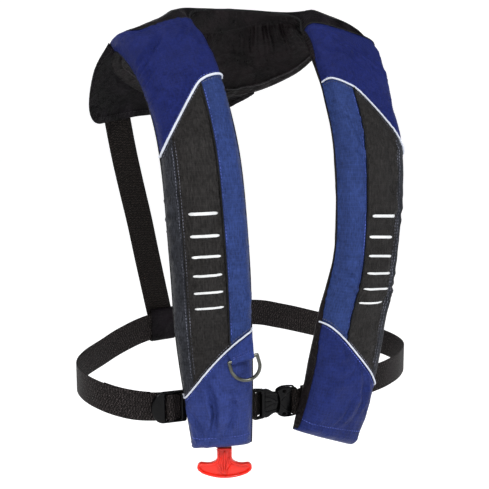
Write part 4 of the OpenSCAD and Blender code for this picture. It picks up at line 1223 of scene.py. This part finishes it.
FLANK = [(20, 20.2), (13, 20.0), (8.5, 18.6), (5, 16.4), (4.2, 13.6), (6.4, 8)]
shell = arc(27, 15, 4.5, 0, 90, 5) + FLANK + [(7.4, 0)]
shell = shell + [(x, -z) for x, z in shell[-2::-1]]
holes = [rounded(23.0, 28.2, -17.6, 17.6, 1.8), rounded(11, 15.5, 13.9, 16.9, 1.2),
         rounded(11, 15.5, -16.9, -13.9, 1.2)]
buckle_plate("buckle_right_front", shell, 2.6, 0.8, "buckle_female", holes=holes, y=-4.75, body="buckle")
buckle_plate("buckle_right_back", shell, 2.6, 0.8, holes=holes, y=4.75, body="buckle")
WALL = [(7.5, 15.9), (9.5, 18.2), (13.5, 19.4), (20, 19.7), (21.4, 19.4), (21.4, 15.7), (14, 15.7)]
for k, label in HALVES[::-1]:
    wall = [(x, k * z) for x, z in WALL][::k]
    buckle_plate(f"buckle_wall_{label}", wall, 8.4, 0.5, body="buckle", steps=2)
buckle_plate("buckle_right_bar", rounded(21.0, 23.6, -18.6, 18.6, 1.0), 8.6, 0.7, body="buckle", steps=3)
buckle_plate("buckle_right_end", rounded(28.0, 31.0, -17.4, 17.4, 1.2), 8.6, 0.9, body="buckle", steps=3)
LEFT_TURN = [(37, -102.4), (33, -104.6), (28.5, -108.0), (24.5, -108.4), (21.6, -105.6),
             (20.9, -102.0), (22.6, -99.8), (26, -99.4)]
RIGHT_TURN = [(-47, -98.6), (-41, -100.8), (-37.2, -105.6), (-33.0, -107.4), (-29.2, -105.0),
              (-27.4, -100.8), (-24.5, -96.0), (-20, -94.0), (-16, -94.0)]
for word, turn, body in (("left", LEFT_TURN, "buckle"), ("right", RIGHT_TURN, JACKET)):
    path = curve([(x, y, BELT_Z - 3) for x, y in turn], 90, 1.3)
    strap(f"{word}_webbing_turn", path, "strap", width=34.6, thick=1.5, body=body)
RIDGE = [(9.4, 3.0), (12.4, 7.0), (17.2, 11.6), (19.6, 13.0)]
for k, label in HALVES:
    line = smooth([(x, -5.9, k * z) for x, z in RIDGE], np.linspace(0, 3, 20)) + BUCKLE_AT
    add(tube(f"buckle_ridge_{label}", line, 0.7, 8), "plastic", body="buckle")

# ------------------------------------------------------------------ pull handle
HANDLE_AT, HANDLE_TURN = (-76, -112, -563), -20
HANDLE_W, HANDLE_H, HANDLE_T, STEM_W, TIP_R, BELLY_R = 71, 41, 9, 19, 6, 70
SHOULDER_X, SHOULDER_Z = 13, 8               # size of the curve from the stem out to a tip
SHOULDER_AT, STEM_AT = 19.4, 29              # heights where that curve ends at the tip and at the stem
HANDLE_WEB, HANDLE_RIM = 3.4, 3.0            # the web's thickness, and the rim's width


def handle_line():
    """The handle's closed outline, as x and z from the middle of its lower edge."""
    reach = HANDLE_W / 2 - TIP_R
    lift = BELLY_R - math.sqrt(BELLY_R**2 - (HANDLE_W / 2) ** 2)
    sag = [(x, BELLY_R - math.sqrt(BELLY_R**2 - x * x)) for x in np.linspace(-reach, reach, 30)]
    tip = arc(reach, lift + TIP_R - 1.4, TIP_R, -62, 82, 10)
    waist = [(STEM_W / 2 + SHOULDER_X * (1 - math.sin(t)), SHOULDER_AT + SHOULDER_Z * (1 - math.cos(t)))
             for t in np.linspace(0, math.pi / 2, 13)]
    right = tip + waist + [(STEM_W / 2, z) for z in np.linspace(STEM_AT, HANDLE_H, 6)]
    return np.array([*sag, *right, *[(-x, z) for x, z in right[::-1]], sag[0]])


def inset(line, d):
    """The outline moved inwards by d."""
    t = np.roll(line, -1, 0) - np.roll(line, 1, 0)
    t = unit(t + np.roll(t, 1, 0) + np.roll(t, -1, 0))
    x, z = line.T
    area = np.sum(x * np.roll(z, -1) - np.roll(x, -1) * z)
    return line + np.stack([-t[:, 1], t[:, 0]], 1) * np.sign(area) * d


def on_handle(points):
    return turned(points, HANDLE_TURN, HANDLE_AT)


line = spaced(handle_line(), 1.3)[:-1]
ob = plate("handle_web", inset(line, 1.2).tolist(), HANDLE_WEB, 0.8, (), HANDLE_AT, HANDLE_TURN)
add(ob, "red", "pull_handle", body="handle")
hollow = inset(line, HANDLE_RIM)
hollow = hollow[hollow[:, 1] < HANDLE_H - 2.5].tolist()
ob = plate("handle_rim", line.tolist(), HANDLE_T, 1.3, [hollow], HANDLE_AT, HANDLE_TURN, 4)
add(ob, "red", body="handle")
RIB_R, RIB_Y = 1.3, 1.9
RIBS = [((0, 35), (0, 5)), ((-5.2, 27), (-1.2, 6)), ((5.2, 27), (1.2, 6)), ((-9, 17.5), (-1.6, 5.4)),
        ((9, 17.5), (1.6, 5.4))]
for i, ((x0, z0), (x1, z1)) in enumerate(RIBS):
    for y, word in ((-RIB_Y, "front"), (RIB_Y, "back")):
        path = spaced([(x0, y, z0), ((x0 + x1) / 2, y, (z0 + z1) / 2), (x1, y, z1)], 2)
        add(tube(f"handle_rib_{i}_{word}", on_handle(path), RIB_R, 10), "red", body="handle")

# ------------------------------------------------------------------ lanyard
LOBE_TURN, INFLATOR_AT = -19, (-86, -121, -452)
PIVOT, LEVER_R, LANYARD_D = (-8, -16.8, 2), 24, 2.4
TIP_X = PIVOT[0] + LEVER_R * math.sqrt(0.5)
TIP_Z = PIVOT[2] + LEVER_R * math.sqrt(0.5)
LANYARD = [
    (TIP_X, -15.6, TIP_Z), (TIP_X, -18.4, TIP_Z - 0.3), (TIP_X, -19.7, TIP_Z - 4),
    (TIP_X, -17.5, 0), (8, -12, -14), (6.5, -4, -30), (5, 5, -48), (4, 12, -62), (3.7, 13.4, -69.6),
]
path = spaced(turned(smooth(LANYARD, np.linspace(0, 8, 200)), LOBE_TURN, INFLATOR_AT), 1.2)
ob = add(tube("lanyard_cord", path, LANYARD_D / 2), "red_cord", "pull_lanyard", body="handle")

# ------------------------------------------------------------------ folded bladder
# How much of the cover's thickness the folded bladder fills at each station
FOLD = [0.13, 0.13, 0.08, 0.28, 0.55, 0.6, 0.6, 0.6, 0.6, 0.6, 0.6,
        0.6, 0.6, 0.6, 0.6, 0.5, 0.26, 0.26, 0.3, 0.5, 0.5]
FOLD_EDGE, FOLD_FLOOR, FOLD_SIDES = 9, 3.6, 40       # gap at the edges and behind, mm; points round
us = np.linspace(0.25, LAST - 0.35, 260)
mid, w, out, half, t = section(us)
high = smooth(np.array(FOLD)[:, None], us) * t / 2
centre = mid + out * (FOLD_FLOOR + high - BACK_SHARE * t)
k = 2 * np.pi * np.arange(FOLD_SIDES) / FOLD_SIDES
c, sn = np.cos(k)[None], np.sin(k)[None]
rough = noise(np.stack(np.broadcast_arrays(us[:, None] * 30, 9 * c, 9 * sn), -1), (9, 4, 4), 91)
leaf = 1 - 0.05 * (0.5 + 0.5 * np.cos(6 * k))[None] - 0.02 * (0.5 + 0.5 * rough)
spread = w[:, None] * (half[:, None] - FOLD_EDGE) * power(c, 0.5)[..., None]
rings = centre[:, None] + leaf[..., None] * (
    spread + out[:, None] * high[:, None] * power(sn, 0.5)[..., None])
ob = add(loft("bladder_folds", rings, uv=strip_uv(run_of(centre), 28 * k)), "bladder", "bladder")

# ------------------------------------------------------------------ towing ring's tab
RING_AT, RING_TURN, RING_TILT, RING_WIRE = np.array([-66.8, -157, -392]), -18, 16, 4.4
turn, tilt = math.radians(RING_TURN), math.radians(-RING_TILT)
RING_X = np.array([math.cos(tilt) * math.cos(turn), math.cos(tilt) * math.sin(turn), -math.sin(tilt)])
RING_OUT, RING_UP = np.array([math.sin(turn), -math.cos(turn), 0.0]), np.array([0, 0, 1.0])
TAB_W, TAB_T, TAB_BULGE = 28.4, 1.2, 2.2
TAB_SPAN = (0.47, 0.045)                     # shares round the lobe that the tab's sewn edge spans
v = np.linspace(0, 1, 26)
a_from, a_to = a_of(TAB_SPAN)
p = p_at(a_from + (a_to - a_from) * v)
bar = RING_AT + RING_X * ((v[:, None] - 0.5) * TAB_W)
r = RING_WIRE / 2 + 1.25                     # the cloth's turn round the ring's bar
# down the front, round the bar, and up again behind
top = cover(RIGHT, lower_seam(RIGHT, p) + 0.03, p, 2.2)
low = bar + RING_OUT * r + RING_UP
rows = [top + (low - top) * t + RING_OUT * TAB_BULGE * math.sin(math.pi * t) * (0.6 + 0.4 * t)
        for t in np.linspace(0, 1, 22)[:-1]]
rows += [bar + r * (RING_OUT * math.cos(t) - RING_UP * math.sin(t))
         for t in np.radians(np.linspace(10, 170, 12))]
low = bar - RING_OUT * r + RING_UP
top = cover(RIGHT, lower_seam(RIGHT, p) + 0.05, p, 0.9)
rows += [top + (low - top) * t for t in np.linspace(1, 0.35, 12)]
tab = np.array(rows)
wrinkle = 0.35 * noise(tab, (9, 9, 14), 97)
add(cloth("ring_tab_cloth", tab + grid_normals(tab) * wrinkle[..., None], thick=TAB_T), "tab", "d_ring_tab")
rows = [tab[i, 2:-2] + RING_OUT * 0.35 for i in (17, 14)]
add(stitches("ring_tab_stitches", rows), "thread_blue")

# ------------------------------------------------------------------ CAD pieces that stay
for mat, names in (
        ("plastic", ["manifold", "inflator_body", "oral_tube"]),
        ("steel", ["manifold_nut", "lever_pin", "piercing_pin", "gas_cylinder"]),
        ("spring", ["drive_spring", "valve_spring"]),
        ("yellow", ["bobbin_cap"]), ("white", ["bobbin", "valve_poppet"]),
        ("green", ["status_window"]), ("orange", ["inflator_lever"]),
        ("red", ["valve_body", "dust_cap"]), ("ring", ["d_ring"])):
    for name in names:
        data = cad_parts[name].data
        data.materials.clear()
        data.materials.append(MAT[mat])
        smooth_faces(data, 35)

# ------------------------------------------------------------------ lights, floor and camera
EYE = np.array([-562.0, -1522.8, 34.7]) * MM
AIM = np.array([-24.8, -47.0, -270.6]) * MM
LENS = 89.5
MIDDLE = (0, -0.05, -0.25)                   # what the lights point at, m


def aimed(name, data, at, aim):
    ob = link(name, data)
    ob.location = at
    ob.rotation_mode = "QUATERNION"
    ob.rotation_quaternion = Vector(np.subtract(aim, at)).to_track_quat("-Z", "Y")
    return ob


lens = bpy.data.cameras.new("camera")
lens.lens = LENS
lens.sensor_width = 36
bpy.context.scene.camera = aimed("camera", lens, EYE, AIM)

world = bpy.data.worlds.new("studio")
bpy.context.scene.world = world
world.use_nodes = True
background = next(n for n in world.node_tree.nodes if n.type == "BACKGROUND")
background.inputs[0].default_value = (0.93, 0.95, 1.0, 1)
background.inputs[1].default_value = 0.11
bpy.context.scene.view_settings.view_transform = "Standard"

FLOOR_Z, FLAT_R = -1.25, 14                  # the floor's height, and where it starts to rise, m
radii = np.concatenate([np.linspace(0.001, FLAT_R, 12), np.linspace(15, 26, 14)])
rise = 0.045 * np.maximum(radii - FLAT_R, 0) ** 2
k = 2 * np.pi * np.append(np.arange(72), 0) / 72
dish = np.stack(np.broadcast_arrays(radii[:, None] * np.cos(k), radii[:, None] * np.sin(k),
                                    FLOOR_Z + rise[:, None]), -1) / MM
floor = new_mesh("floor", dish.reshape(-1, 3), quads(*dish.shape[:2]))
look = Look("pale_floor")
base = look.ramp(look.noise(3, 3, 0.55), (0.90, 0.90, 0.91), (0.94, 0.94, 0.94))
look.put(look.shader.inputs["Base Color"], base)
for key, value in {"Roughness": 0.9, "Specular IOR Level": 0.05, "Emission Color": (1.0, 1.0, 1.0),
                   "Emission Strength": 0.5}.items():       # a lit sweep, as in a studio
    look.put(look.shader.inputs[key], value)
floor.data.materials.append(look.material)


def area_light(name, at, size, power_w, color=(1, 1, 1)):
    """Rectangular light pointed at the middle of the jacket, in m and W."""
    data = bpy.data.lights.new(name, "AREA")
    data.shape = "RECTANGLE"
    data.size, data.size_y = size
    data.energy = power_w
    data.color = color
    aimed(name, data, at, MIDDLE)


area_light("key", (-1.4, -2.2, 1.5), (0.8, 0.8), 64, (1.0, 0.98, 0.95))
area_light("fill", (1.9, -1.9, 0.5), (0.9, 1.3), 33, (0.94, 0.97, 1.0))
area_light("top", (0.1, 0.3, 2.2), (1.8, 1.2), 20)
area_light("rim", (-1.5, 1.7, 0.8), (1.0, 1.6), 14)
sun = bpy.data.lights.new("ceiling", "SUN")
sun.energy = 1.3
sun.angle = math.radians(45)
link("ceiling", sun).rotation_euler = (math.radians(24), math.radians(-10), 0)
